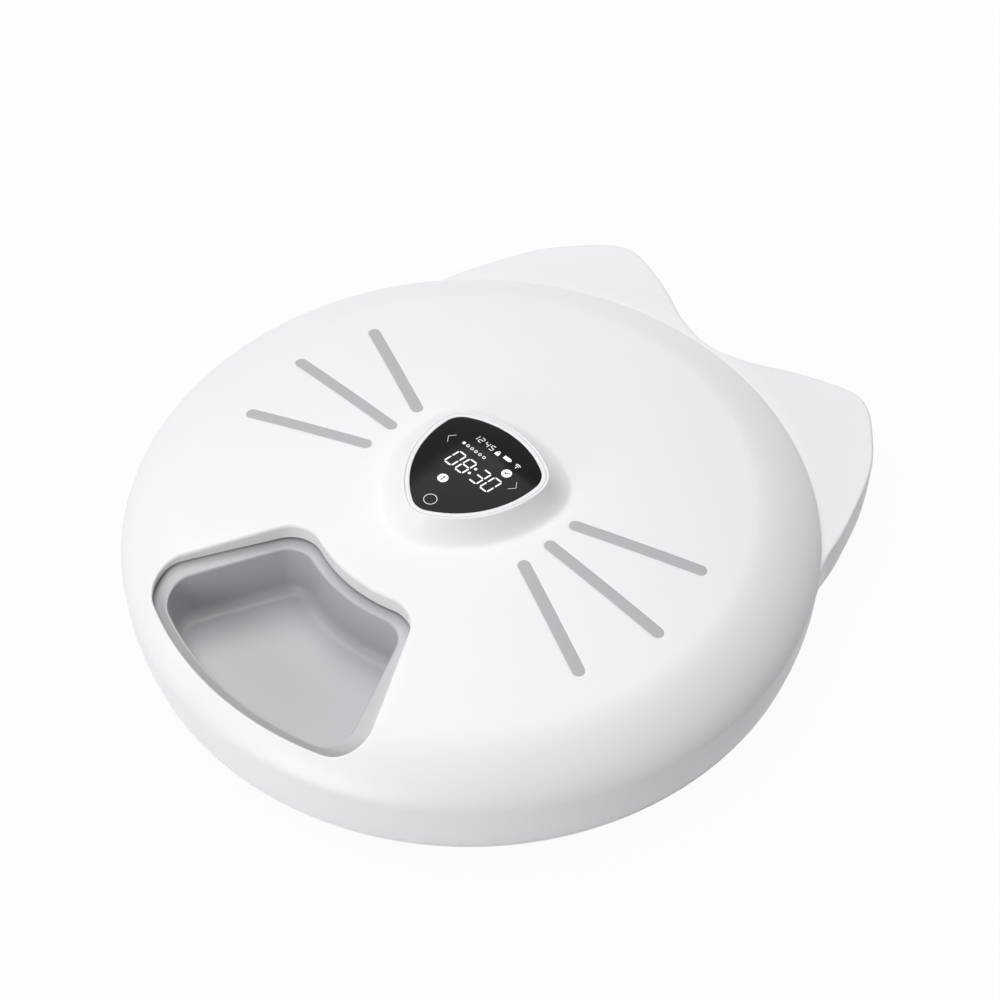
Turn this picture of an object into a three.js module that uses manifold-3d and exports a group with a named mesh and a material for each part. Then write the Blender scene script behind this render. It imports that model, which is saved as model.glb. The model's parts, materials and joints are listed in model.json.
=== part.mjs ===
// A rotary pet feeder with six meals: a domed lid with one serving window turns into a flat-eared base.
// Under the lid a grey ring of six compartments is turned by a small geared motor in the middle tower.
// Millimetres, +Z up. The meals turn about the vertical line x = 0, y = -axisShift; the floor is z = 0.
// +Y is the rear, where the two ears are, and -Y is the front, where the serving window is.
import * as THREE from "three";
import { mergeVertices } from "three/addons/utils/BufferGeometryUtils.js";
import Module from "manifold-3d";

const wasm = await Module();
wasm.setup();

// Body and ears
const bodyRadius = 166; // the round body where it is widest
const wallDraft = 3.2; // the wall is drawn in by this much at the underside
const bodyBellyHeight = 24; // below this the wall curves in
const footHeight = 2; // the underside stands this far above the floor
const earTopHeight = 31.6; // flat top of the ears
const earLength = 46.2; // from the round wall out to an ear's tip
const rearWallStep = 5; // how far the rear wall between the ears stands behind the round wall
const earEdgeSoftness = 1.2; // small chamfer round the ears' edges
// Degrees round from +X, and the share of the way from the body's wall out to the ear's tip.
const earOutlineShares = [
  [32, 0.004],
  [37, 0.06],
  [44, 0.28],
  [54.3, 0.665],
  [61.3, 0.879],
  [66.6, 1],
  [70.3, 0.916],
  [76.4, 0.583],
  [82.8, 0.251],
];
const earCurveSteps = 3; // straight steps between two of those points

// Lid
const lidCentreHeight = 59.7; // top of the dome
const domeDrop = 6.3; // fall of the dome from its centre to the shoulder
const shoulderWidth = 32.2; // width of the rounded shoulder round the dome
const shoulderPower = 1.5; // superellipse power of the shoulder
const lidWall = 2.4;
const skirtBottomHeight = 5; // lower edge of the lid's skirt
const windowEdgeWidth = 9.8; // from the body's wall in to the window
const windowTrayInset = 7.6; // from the tray's inner edge out to the window
const windowHalfAngle = 28.5; // degrees either side of the front
const windowCornerRadius = 16.5;
const lipWall = 2; // wall of the lip that hangs round the window
const lipTrayGap = 1.2; // the lip stays this far above the tray's rim

// Nose-shaped display
const noseHalfSpread = 18.6; // its two rear corners' centres, either side of the middle
const noseRearY = 12.2;
const noseTipY = -24.6;
const noseRearCorner = 11;
const noseTipCorner = 9.2;
const noseSideBow = 49; // radius of its three bowed sides
const housingRim = 2.2; // white rim of the display's housing round the black glass
const displayRise = 9; // of its rim above the lid's centre
const neckRim = 3.6; // from the black glass out to the top edge of the lid's neck
const neckFlare = 9; // how far the neck spreads below that edge, down to the dome
const neckPower = 1.4; // how soon it spreads
const neckGap = 0.3; // between the housing and the neck
const neckSteps = 4;

// Whiskers
const whiskerWidth = 5.9;
const whiskerStartX = 50.3;
const whiskerMiddleY = -1.5;
const whiskerSpacing = 15.6;
const whiskerFan = 22.5; // degrees
const whiskerEndInset = 11.7; // from the middle whisker's end out to the shoulder
const whiskerShortening = 5.1; // of the outer whiskers against the middle one
const whiskerDepth = 1.1;

// Clearances and helpers
const fitGap = 0.3; // between two pieces that touch
const skirtGap = 0.4; // between the lid's skirt and the base's wall
const runningGap = 0.5; // beside the rail that the carousel runs on
const overrun = 3; // how far a cut runs past the face that it opens
const chordError = 0.25; // how far a straight step may leave its arc
const mergeReach = 0.001;
const latheSteps = 48;

// Base
const wellWall = 2;
const earWall = 2.4;
const coverThickness = 3;
const wellRise = 8; // of the well's floor above the cover
const wellFloorThickness = 2.5;
const towerCollarGap = 4.8; // between the tower and the carousel's collar
const towerWall = 2.5;
const towerLidGap = 9.7; // from the tower's top up to the lid's centre
const railInset = 12; // from the deck's edge in to the round rail that the carousel runs on
const railWidth = 3;
const railHeight = 2.7;

// Gears
const gearModule = 2;
const ringTeeth = 60;
const pinionTeeth = 10;
const gearAddendum = 1.6;
const gearDedendum = 2;
const gearBacklash = 0.2;
const pressureAngle = 20; // degrees
const pinionMotorGap = 1.1;
const pinionWidth = 6.3;

// Carousel and tray
const deckRise = 1.5; // of the deck's underside above the well's floor
const deckThickness = 2.5;
const deckInset = 7.3; // from the tray's edge in to the deck's
const collarWall = 4;
const trayWellGap = 1.5; // between the tray's edge and the well
const trayCollarGap = 2.7;
const trayRimGap = 3.5; // between the tray's rim and the lid
const trayLidGap = 3; // between the tray's sloping edge and the lid
const trayWall = 2;
const trayApronDepth = 9; // how far the tray's edge hangs down
const pocketCount = 6;
const rimShown = 5.5; // width of the tray's rim that shows inside the window
const pocketHalfAngle = 24.8; // degrees
const pocketCornerRadius = 13;
const pocketFloorFillet = 6;
const keyInset = 5.4; // from a pocket's inner end to the key beside it
const keyEndInset = 9; // from a pocket's outer end to the key beside it
const keyHeight = 10;
const keyGap = 0.8;

// Motor
const motorRadius = 12;
const motorShaftOffset = 8;
const motorBodyHeight = 18.3;
const motorShaftRadius = 2.5;
const flangeSpread = 17.5; // its two screws, either side of the middle
const flangeWidth = 7;
const flangeThickness = 1;
const motorPostRadius = 3.2;

// Screws, shared by the cover, motor and board
const screwHeadRadius = 2.8;
const screwHeadHeight = 1.6;
const screwShankRadius = 1.4;
const screwHoleGap = 0.3;
const coverScrewInset = 7.8; // from the well's wall
const coverScrewAngles = [-110, -70, -10, 50, 130, 190]; // degrees
const coverScrewLength = 5.6;
const coverScrewBoss = 3.6;
const motorScrewLength = 6;
const boardScrewLength = 5;

// Feet
const footRadius = 7;
const footRecess = 1;
const footInset = 26; // from the body's wall
const earFootInset = 32.2; // from an ear's tip
const footAngles = [-52, -128, 8, 172]; // degrees
const earFootAngles = [64, 116]; // degrees

// Cells, their box and its door
const cellRadius = 7.25;
const cellLength = 49.5;
const cellNubRadius = 2.75;
const cellNubLength = 1;
const cellPitch = 14.9;
const cellCount = 4;
const cellBayY = -13; // middle of the bay, front to rear
const cellBaySpare = 3.6; // room for the contacts at the two ends
const batteryBoxWall = 1.5;
const contactThickness = 0.5;
const contactHeight = 11;
const springRadius = 3;
const springReach = 0.9;
const doorThickness = 1.5;
const doorOverlap = 3;
const doorTravel = 6;
const doorRecessDepth = 1.8;
const tongueReach = 3.5;
const tongueWidth = 7;
const tongueThickness = 1;

// Electronics
const boardThickness = 1.6;
const boardHalfWidth = 36;
const boardFrontInset = 2; // from the battery bay's front end
const boardRearReach = 6; // beyond the battery bay's rear end
const boardPostHeight = 3.6;
const boardPostRadius = 3;
const boardPostInset = 10; // from the board's sides
const chipHeight = 2.2;
const chipSide = 14;
const radioLength = 18;
const radioWidth = 12;
const plugHeight = 4;
const plugWidth = 15;
const plugDepth = 5;
const buzzerRadius = 8;
const buzzerHeight = 5.5;
const buzzerSideInset = 14; // from the board's left side to the buzzer's middle
const buzzerFrontInset = 16;
const glassThickness = 1.7;
const glassSink = 0.2; // the glass lies this far below the rim
const glassLedge = 1.5;
const ledgeThickness = 1.2;
const lightGuideHeight = 4.6;
const podInset = 2;
const capThickness = 2.5;
const capSkirtDepth = 4;
const ribbonWidth = 12;
const ribbonThickness = 0.6;
const ribbonY = -12;
const leadRadius = 1.4;
const sensorWidth = 10;
const sensorDepth = 8;
const sensorHeight = 3;
const magnetRadius = 3;
const magnetHeight = 1.6;
const inletWidth = 9;
const inletHeight = 3.2;
const inletDepth = 7.5;
const inletWall = 0.6;
const inletBoardWidth = 16;
const inletBoardDepth = 14;
const inletBoardThickness = 1.2;

// Worked out from the sizes above
const bodyFootRadius = bodyRadius - wallDraft;
const earReach = bodyRadius + earLength;
const valleyReach = bodyRadius + rearWallStep;
const shoulderRadius = bodyRadius - shoulderWidth;
const shoulderHeight = lidCentreHeight - domeDrop - earTopHeight;
const displayTopHeight = lidCentreHeight + displayRise;
const towerTopHeight = lidCentreHeight - towerLidGap;
const trayRimHeight = lidCentreHeight - domeDrop - lidWall - trayRimGap;
const flangeHeight = skirtBottomHeight - fitGap; // the foot flange under the lid's skirt
const middleWhiskerLength = shoulderRadius - whiskerStartX - whiskerEndInset;
const outerWhiskerLength = middleWhiskerLength - whiskerShortening;
const wellOuterRadius = wallRadius(skirtBottomHeight) - lidWall - skirtGap;
const wellRadius = wellOuterRadius - wellWall;
const coverTop = footHeight + coverThickness;
const wellFloorHeight = coverTop + wellRise;
const wellFloorUnderside = wellFloorHeight - wellFloorThickness;
const screwHoleRadius = screwShankRadius + screwHoleGap;
const ringPitchRadius = (gearModule * ringTeeth) / 2;
const pinionPitchRadius = (gearModule * pinionTeeth) / 2;
const pinionY = ringPitchRadius - pinionPitchRadius;
const pinionTipRadius = pinionPitchRadius + gearAddendum;
const collarInnerRadius = ringPitchRadius + gearDedendum + fitGap;
const collarRadius = collarInnerRadius + collarWall;
const towerRadius = collarInnerRadius - towerCollarGap;
const towerInnerRadius = towerRadius - towerWall;
const trayOuterRadius = wellRadius - trayWellGap;
const trayInnerRadius = collarRadius + trayCollarGap;
const windowInnerRadius = trayInnerRadius + windowTrayInset;
const windowOuterRadius = bodyRadius - windowEdgeWidth;
const pocketInnerRadius = windowInnerRadius + rimShown;
const pocketOuterRadius = windowOuterRadius - rimShown;
const keyInnerRadius = pocketInnerRadius + keyInset;
const keyOuterRadius = pocketOuterRadius - keyEndInset;
const deckOuterRadius = trayOuterRadius - deckInset;
const railInnerRadius = deckOuterRadius - railInset;
const deckLowHeight = wellFloorHeight + deckRise;
const deckHeight = deckLowHeight + deckThickness;
const grooveDepth = railHeight - deckRise + fitGap;
const sensorRadius = (collarRadius + railInnerRadius) / 2;
const coverScrewRadius = wellRadius - coverScrewInset;
const footPlaces = [
  ...footAngles.map((degrees) => [degrees, bodyRadius - footInset]),
  ...earFootAngles.map((degrees) => [degrees, earReach - earFootInset]),
];
const trayUnderside = deckHeight + fitGap;
const pocketFloor = trayUnderside + trayWall;
const motorY = pinionY - motorShaftOffset;
const motorBase = coverTop + fitGap;
const motorTop = motorBase + motorBodyHeight;
const pinionLow = motorTop + pinionMotorGap;
const pinionHigh = pinionLow + pinionWidth;
const motorPostTop = motorTop - flangeThickness - fitGap;
const shaftLow = motorTop - motorShaftRadius * 2;
const glassTop = displayTopHeight - glassSink;
const glassUnderside = glassTop - glassThickness;
const ledgeUnderside = glassUnderside - fitGap - ledgeThickness;
const lightGuideTop = glassUnderside - fitGap;
const lightGuideLow = lightGuideTop - lightGuideHeight;
const displayBoardTop = lightGuideLow - fitGap;
const displayBoardLow = displayBoardTop - boardThickness;
const capUnderside = towerTopHeight + fitGap;
const capTop = capUnderside + capThickness;
const cellBayHalfWidth = (cellCount * cellPitch) / 2;
const cellBayHalfLength = (cellLength + cellNubLength + cellBaySpare) / 2;
const bayFront = cellBayY - cellBayHalfLength;
const bayRear = cellBayY + cellBayHalfLength;
const batteryBoxLow = coverTop + fitGap;
const cellHeight = batteryBoxLow + cellRadius + fitGap;
const batteryBoxInside = cellHeight + cellRadius + fitGap;
const batteryBoxTop = batteryBoxInside + batteryBoxWall;
const boardLow = batteryBoxTop + boardPostHeight + fitGap;
const boardTop = boardLow + boardThickness;
const boardFrontY = bayFront + boardFrontInset;
const boardRearY = bayRear + boardRearReach;
const boardPostX = boardHalfWidth - boardPostInset;
const buzzerX = buzzerSideInset - boardHalfWidth;
const buzzerY = boardFrontY + buzzerFrontInset;
const doorTop = footHeight + doorRecessDepth - fitGap;
const tongueSpread = cellPitch; // the tongues slide below the gaps between the cells
const axisShift = (tipY() - bodyRadius) / 2;
const earSeamY = polar(bodyRadius, earOutlineShares[0][0]).y;

// Materials
function material(color, roughness, metalness = 0) {
  return new THREE.MeshStandardMaterial({ color, roughness, metalness });
}
const whitePlastic = material(0xf1f2f5, 0.38);
const greyInlay = material(0xb8bcbf, 0.5);
const trayGrey = material(0x90959a, 0.42);
const blackGlass = material(0x161617, 0.12);
const darkRubber = material(0x3c3f42, 0.85);
const nylonGear = material(0xe9e5d8, 0.45);
const screwSteel = material(0xb4b6b8, 0.32, 1);
const springSteel = material(0xc9cacb, 0.3, 1);
const motorSteel = material(0xa9adb0, 0.35, 1);
const circuitBoard = material(0x1f5a3a, 0.55);
const blackPlastic = material(0x232426, 0.5);
const cellWrap = material(0x5d7f9c, 0.4);
const diffuser = material(0xf6f6f2, 0.6);
const leadSleeve = material(0x2a2b2d, 0.6);
const magnetSteel = material(0x8f9396, 0.3, 1);

// Outlines: lists of points in plan, anticlockwise
function polar(radius, degrees) {
  const turn = THREE.MathUtils.degToRad(degrees);
  return new THREE.Vector2(radius * Math.cos(turn), radius * Math.sin(turn));
}

function arc(centre, radius, startDegrees, endDegrees) {
  const step = THREE.MathUtils.radToDeg(2 * Math.acos(1 - Math.min(chordError / radius, 0.3)));
  const count = Math.max(1, Math.ceil(Math.abs(endDegrees - startDegrees) / step));
  return Array.from({ length: count + 1 }, (_, i) =>
    polar(radius, startDegrees + ((endDegrees - startDegrees) * i) / count).add(centre),
  );
}

function circle(radius, x = 0, y = 0) {
  return arc(new THREE.Vector2(x, y), radius, 0, 360).slice(1);
}

function rectangle(lowX, highX, lowY, highY) {
  return [
    new THREE.Vector2(lowX, lowY),
    new THREE.Vector2(highX, lowY),
    new THREE.Vector2(highX, highY),
    new THREE.Vector2(lowX, highY),
  ];
}

function moved(points, x, y, degrees = 0) {
  const turn = THREE.MathUtils.degToRad(degrees);
  return points.map((p) => p.clone().rotateAround(new THREE.Vector2(), turn).add(new THREE.Vector2(x, y)));
}

// The same outline drawn in by a distance along its normals, or let out where that is negative.
function inset(points, distance) {
  return points.map((p, i) => {
    const before = points[(i + points.length - 1) % points.length];
    const after = points[(i + 1) % points.length];
    const intoBefore = p.clone().sub(before).normalize();
    const intoAfter = after.clone().sub(p).normalize();
    const normal = new THREE.Vector2(-intoBefore.y - intoAfter.y, intoBefore.x + intoAfter.x).normalize();
    const share = Math.max(0.4, normal.dot(new THREE.Vector2(-intoAfter.y, intoAfter.x)));
    return p.clone().addScaledVector(normal, distance / share);
  });
}

// A ring sector with rounded corners, its middle at the front. It serves the window and the pockets.
function sector(innerRadius, outerRadius, halfAngle, corner) {
  const outerTurn = THREE.MathUtils.radToDeg(Math.asin(corner / (outerRadius - corner)));
  const innerTurn = THREE.MathUtils.radToDeg(Math.asin(corner / (innerRadius + corner)));
  const front = -90;
  const [right, left] = [front + halfAngle, front - halfAngle];
  const [square, half] = [90, 180];
  const outerCentre = outerRadius - corner;
  const innerCentre = innerRadius + corner;
  const [outerRight, outerLeft] = [right - outerTurn, left + outerTurn];
  const [innerRight, innerLeft] = [right - innerTurn, left + innerTurn];
  const parts = [
    arc(new THREE.Vector2(), outerRadius, outerLeft, outerRight),
    arc(polar(outerCentre, outerRight), corner, outerRight, right + square),
    arc(polar(innerCentre, innerRight), corner, right + square, innerRight + half),
    arc(new THREE.Vector2(), innerRadius, innerRight, innerLeft),
    arc(polar(innerCentre, innerLeft), corner, innerLeft - half, left - square),
    arc(polar(outerCentre, outerLeft), corner, left - square, outerLeft),
  ];
  return distinct(parts.flat());
}

// The same outline without its repeated points
function distinct(points) {
  const least = mergeReach * 10;
  return points.filter((p, i) => p.distanceTo(points[(i + points.length - 1) % points.length]) > least);
}

// The display's rounded triangle: three corner arcs and three bowed sides, let out by a distance.
function nose(grow = 0) {
  const corners = [
    [new THREE.Vector2(noseHalfSpread, noseRearY), noseRearCorner + grow],
    [new THREE.Vector2(-noseHalfSpread, noseRearY), noseRearCorner + grow],
    [new THREE.Vector2(0, noseTipY), noseTipCorner + grow],
  ];
  const bow = noseSideBow + grow;
  const sides = corners.map(([start, startRadius], i) => {
    const [end, endRadius] = corners[(i + 1) % corners.length];
    const reach = bow - startRadius;
    const otherReach = bow - endRadius;
    const span = start.distanceTo(end);
    const along = (reach ** 2 - otherReach ** 2 + span ** 2) / (2 * span);
    const aside = Math.sqrt(reach ** 2 - along ** 2);
    const direction = end.clone().sub(start).normalize();
    const middle = start.clone().addScaledVector(direction, along);
    return middle.addScaledVector(new THREE.Vector2(-direction.y, direction.x), aside);
  });
  const degrees = (from, to) => THREE.MathUtils.radToDeg(Math.atan2(to.y - from.y, to.x - from.x));
  const points = corners.flatMap(([corner, radius], i) => {
    const before = sides[(i + sides.length - 1) % sides.length];
    const after = sides[i];
    const next = corners[(i + 1) % corners.length][0];
    const start = degrees(before, corner);
    let middle = degrees(after, corner);
    let end = degrees(after, next);
    while (middle < start) middle += 360;
    while (end < middle) end += 360;
    return [...arc(corner, radius, start, middle), ...arc(after, bow, middle, end)];
  });
  return distinct(points);
}

// The round body's wall: its radius at a height, drawn in towards the floor.
function wallRadius(height) {
  const below = Math.max(0, bodyBellyHeight - height) / (bodyBellyHeight - footHeight);
  return bodyRadius - (bodyRadius - bodyFootRadius) * below ** 2;
}

// The two ears and the rear wall between them, closed well inside the round body.
function earOutline(height, grow = 0) {
  const drawnIn = bodyRadius - wallRadius(height);
  const half = earOutlineShares.map(([degrees, share]) =>
    polar(bodyRadius + (earReach - bodyRadius) * share - drawnIn * (1 - share), degrees),
  );
  const mirrored = half.map((p) => new THREE.Vector2(-p.x, p.y)).reverse();
  const curve = new THREE.SplineCurve([...half, new THREE.Vector2(0, valleyReach), ...mirrored]);
  const steps = (half.length + mirrored.length) * earCurveSteps;
  const closing = [new THREE.Vector2(-towerRadius, 0), new THREE.Vector2(towerRadius, 0)];
  return inset([...curve.getPoints(steps), ...closing], -grow);
}

// Everything behind the line where the ears' sides meet the lid, or a distance behind that line
function behindSeam(behind = 0) {
  const reach = earReach + overrun;
  return block(-reach, reach, earSeamY + behind, reach, -earTopHeight, lidCentreHeight);
}

function tipY() {
  return Math.max(...earOutline(earTopHeight).map((p) => p.y));
}

// Solids
function solid(geometry) {
  const bare = geometry.index ? geometry.toNonIndexed() : geometry.clone();
  for (const name of Object.keys(bare.attributes)) if (name !== "position") bare.deleteAttribute(name);
  const merged = mergeVertices(bare, mergeReach);
  const index = merged.index.array;
  const faces = [];
  for (let i = 0; i < index.length; i += 3) {
    const [a, b, c] = [index[i], index[i + 1], index[i + 2]];
    if (a !== b && b !== c && a !== c) faces.push(a, b, c);
  }
  const vertProperties = merged.attributes.position.array;
  return new wasm.Manifold(new wasm.Mesh({ numProp: 3, vertProperties, triVerts: new Uint32Array(faces) }));
}

// An outline pushed up from one height to another, with holes if it has any.
function prism(points, low, high, holes = []) {
  const shape = new THREE.Shape(points);
  shape.holes = holes.map((hole) => new THREE.Path(hole));
  const geometry = new THREE.ExtrudeGeometry(shape, { depth: high - low, bevelEnabled: false });
  return solid(geometry.translate(0, 0, low));
}

function rod(radius, low, high, x = 0, y = 0) {
  return prism(circle(radius, x, y), low, high);
}

function block(lowX, highX, lowY, highY, low, high) {
  return prism(rectangle(lowX, highX, lowY, highY), low, high);
}

// A closed profile of [radius, height] pairs turned about the axis.
function turned(pairs, steps = latheSteps) {
  const points = pairs.map(([radius, height]) => new THREE.Vector2(radius, height));
  const onAxis = points[0].x === 0 && points[points.length - 1].x === 0;
  const ring = onAxis ? points : [...points, points[0].clone()];
  const area = points.reduce((sum, p, i) => sum + p.cross(points[(i + 1) % points.length]), 0);
  if (area > 0) ring.reverse();
  return solid(new THREE.LatheGeometry(ring.reverse(), steps).rotateX(Math.PI / 2));
}

// A skin through outlines with equally many points, closed by flat ends.
function loft(sections) {
  const count = sections[0].points.length;
  const place = (section, i) => [section.points[i].x, section.points[i].y, section.height];
  const corners = [];
  for (let s = 0; s + 1 < sections.length; s++) {
    for (let i = 0; i < count; i++) {
      const [a, b] = [place(sections[s], i), place(sections[s], (i + 1) % count)];
      const [c, d] = [place(sections[s + 1], i), place(sections[s + 1], (i + 1) % count)];
      corners.push(...a, ...b, ...d, ...a, ...d, ...c);
    }
  }
  const first = sections[0];
  const last = sections[sections.length - 1];
  for (const [i, j, k] of THREE.ShapeUtils.triangulateShape(first.points, [])) {
    corners.push(...place(first, i), ...place(first, k), ...place(first, j));
  }
  for (const [i, j, k] of THREE.ShapeUtils.triangulateShape(last.points, [])) {
    corners.push(...place(last, i), ...place(last, j), ...place(last, k));
  }
  const geometry = new THREE.BufferGeometry();
  return solid(geometry.setAttribute("position", new THREE.Float32BufferAttribute(corners, 3)));
}

const join = (first, ...others) => others.reduce((whole, piece) => whole.add(piece), first);
const cut = (first, ...others) => others.reduce((whole, piece) => whole.subtract(piece), first);

const feeder = new THREE.Group();
feeder.position.y = -axisShift;

function addPiece(name, shape, finish, placed = {}) {
  const mesh = shape.getMesh();
  const geometry = new THREE.BufferGeometry();
  geometry.setAttribute("position", new THREE.BufferAttribute(mesh.vertProperties, mesh.numProp));
  geometry.setIndex(new THREE.BufferAttribute(mesh.triVerts, 1));
  geometry.computeVertexNormals();
  const piece = new THREE.Mesh(geometry, finish);
  piece.name = name;
  piece.position.set(placed.x ?? 0, placed.y ?? 0, placed.z ?? 0);
  piece.rotation.set(placed.tilt ?? 0, 0, placed.turn ?? 0);
  feeder.add(piece);
  return piece;
}

// The lid's outer surface from its centre out to the skirt's lower edge
function domeHeight(radius) {
  return lidCentreHeight - domeDrop * (radius / shoulderRadius) ** 2;
}

function lidOuterProfile() {
  const domeSteps = 4;
  const shoulderSteps = 8;
  const wallSteps = 3;
  const dome = Array.from({ length: domeSteps }, (_, i) => {
    const radius = (shoulderRadius * i) / domeSteps;
    return [radius, domeHeight(radius)];
  });
  const shoulder = Array.from({ length: shoulderSteps + 1 }, (_, i) => {
    const turn = (Math.PI / 2) * (1 - i / shoulderSteps);
    const across = Math.max(0, Math.cos(turn)) ** (2 / shoulderPower);
    const up = Math.sin(turn) ** (2 / shoulderPower);
    return [shoulderRadius + shoulderWidth * across, earTopHeight + shoulderHeight * up];
  });
  const wall = Array.from({ length: wallSteps }, (_, i) => {
    const height = earTopHeight + ((skirtBottomHeight - earTopHeight) * (i + 1)) / wallSteps;
    return [wallRadius(height), height];
  });
  return [...dome, ...shoulder, ...wall];
}

// The same surface moved inwards by the lid's wall, for a profile that runs from the axis outwards.
function profileInside(profile, distance) {
  return profile.map(([radius, height], i) => {
    const [r0, z0] = profile[Math.max(0, i - 1)];
    const [r1, z1] = profile[Math.min(profile.length - 1, i + 1)];
    const length = Math.hypot(r1 - r0, z1 - z0);
    const inwards = i === 0 ? 0 : ((z1 - z0) / length) * distance;
    const down = i === profile.length - 1 ? 0 : ((r1 - r0) / length) * distance;
    return [radius + inwards, height - down];
  });
}

function heightAt(profile, radius) {
  const i = profile.findIndex(([r]) => r >= radius);
  if (i <= 0) return profile[i === 0 ? 0 : profile.length - 1][1];
  const [[r0, z0], [r1, z1]] = [profile[i - 1], profile[i]];
  return z0 + ((z1 - z0) * (radius - r0)) / (r1 - r0);
}

const lidOuter = lidOuterProfile();
const everyOther = (profile) => profile.filter((pair, i) => (profile.length - 1 - i) % 2 === 0 || i === 0);
const lidInner = everyOther(profileInside(lidOuter, lidWall));

// The tray's rim: flat, then sloping down beside the lid's shoulder
function trayTopProfile(raise = 0) {
  const steps = 5;
  const slopeStart = shoulderRadius;
  const slope = Array.from({ length: steps + 1 }, (_, i) => {
    const radius = slopeStart + ((trayOuterRadius - slopeStart) * i) / steps;
    return [radius, Math.min(trayRimHeight, heightAt(lidInner, radius) - trayLidGap) + raise];
  });
  return [[trayInnerRadius, trayRimHeight + raise], ...slope];
}

const windowOutline = sector(windowInnerRadius, windowOuterRadius, windowHalfAngle, windowCornerRadius);

function whiskerOutline(side, row, grow) {
  const length = row === 0 ? middleWhiskerLength : outerWhiskerLength;
  const round = whiskerWidth / 2;
  const bar = [
    ...arc(new THREE.Vector2(length - round, 0), round + grow, -90, 90),
    ...arc(new THREE.Vector2(round, 0), round + grow, 90, 270),
  ];
  const placed = moved(bar, whiskerStartX, whiskerMiddleY + row * whiskerSpacing, row * whiskerFan);
  return side > 0 ? placed : placed.map((p) => new THREE.Vector2(-p.x, p.y)).reverse();
}

// A layer of the dome between two depths below its surface
function domeLayer(highDepth, lowDepth, reach) {
  const steps = 8;
  const radii = Array.from({ length: steps + 1 }, (_, i) => (reach * i) / steps);
  const top = radii.map((r) => [r, domeHeight(r) - highDepth]);
  const low = radii.map((r) => [r, domeHeight(r) - lowDepth]).reverse();
  return turned([...top, ...low]);
}

const whiskers = [
  [1, 1, "whisker_right_rear"],
  [1, 0, "whisker_right_middle"],
  [1, -1, "whisker_right_front"],
  [-1, 1, "whisker_left_rear"],
  [-1, 0, "whisker_left_middle"],
  [-1, -1, "whisker_left_front"],
];

// The neck that rises from the dome round the display, or its inside where a wall is taken off
function makeNeck(wall = 0) {
  const rim = nose(neckRim);
  const edge = (neckRim - housingRim - neckGap) / 2;
  const foot = lidCentreHeight - lidWall / 2;
  const rise = displayTopHeight - edge - foot;
  const levels = Array.from({ length: neckSteps + 1 }, (_, i) => {
    const share = i / neckSteps;
    const spread = neckFlare * (1 - share) ** neckPower - wall;
    const least = wall > 0 ? housingRim + neckGap - neckRim : 0;
    return { points: inset(rim, -Math.max(spread, least)), height: foot + rise * share - wall };
  });
  if (wall > 0) {
    const below = { points: levels[0].points, height: trayRimHeight };
    const above = { points: levels[neckSteps].points, height: displayTopHeight + overrun };
    return loft([below, ...levels, above]);
  }
  return loft([...levels, { points: inset(rim, edge), height: displayTopHeight }]);
}

function makeLid() {
  const shell = turned([...lidOuter, ...[...lidInner].reverse()]);
  const lipTop = lidCentreHeight + overrun;
  const lipRing = prism(inset(windowOutline, -lipWall), deckHeight, lipTop);
  const underDome = turned([
    ...lidOuter.filter(([r]) => r <= windowOuterRadius + lipWall),
    ...trayTopProfile(lipTrayGap).reverse(),
    [0, trayRimHeight + lipTrayGap],
  ]);
  const pieces = [
    prism(windowOutline, deckHeight, lipTop),
    makeNeck(lidWall),
    block(-bodyRadius, bodyRadius, earSeamY - fitGap, bodyRadius + overrun, 0, earTopHeight + fitGap),
    ...whiskers.map(([side, row]) => {
      const grooved = prism(whiskerOutline(side, row, fitGap), trayRimHeight, lipTop);
      return grooved.intersect(domeLayer(-overrun, whiskerDepth + fitGap, shoulderRadius));
    }),
  ];
  return cut(join(shell, lipRing.intersect(underDome), makeNeck()), ...pieces);
}

function makeWhisker(side, row) {
  const bar = prism(whiskerOutline(side, row, 0), trayRimHeight, lidCentreHeight + overrun);
  return bar.intersect(domeLayer(0, whiskerDepth, shoulderRadius));
}

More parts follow.
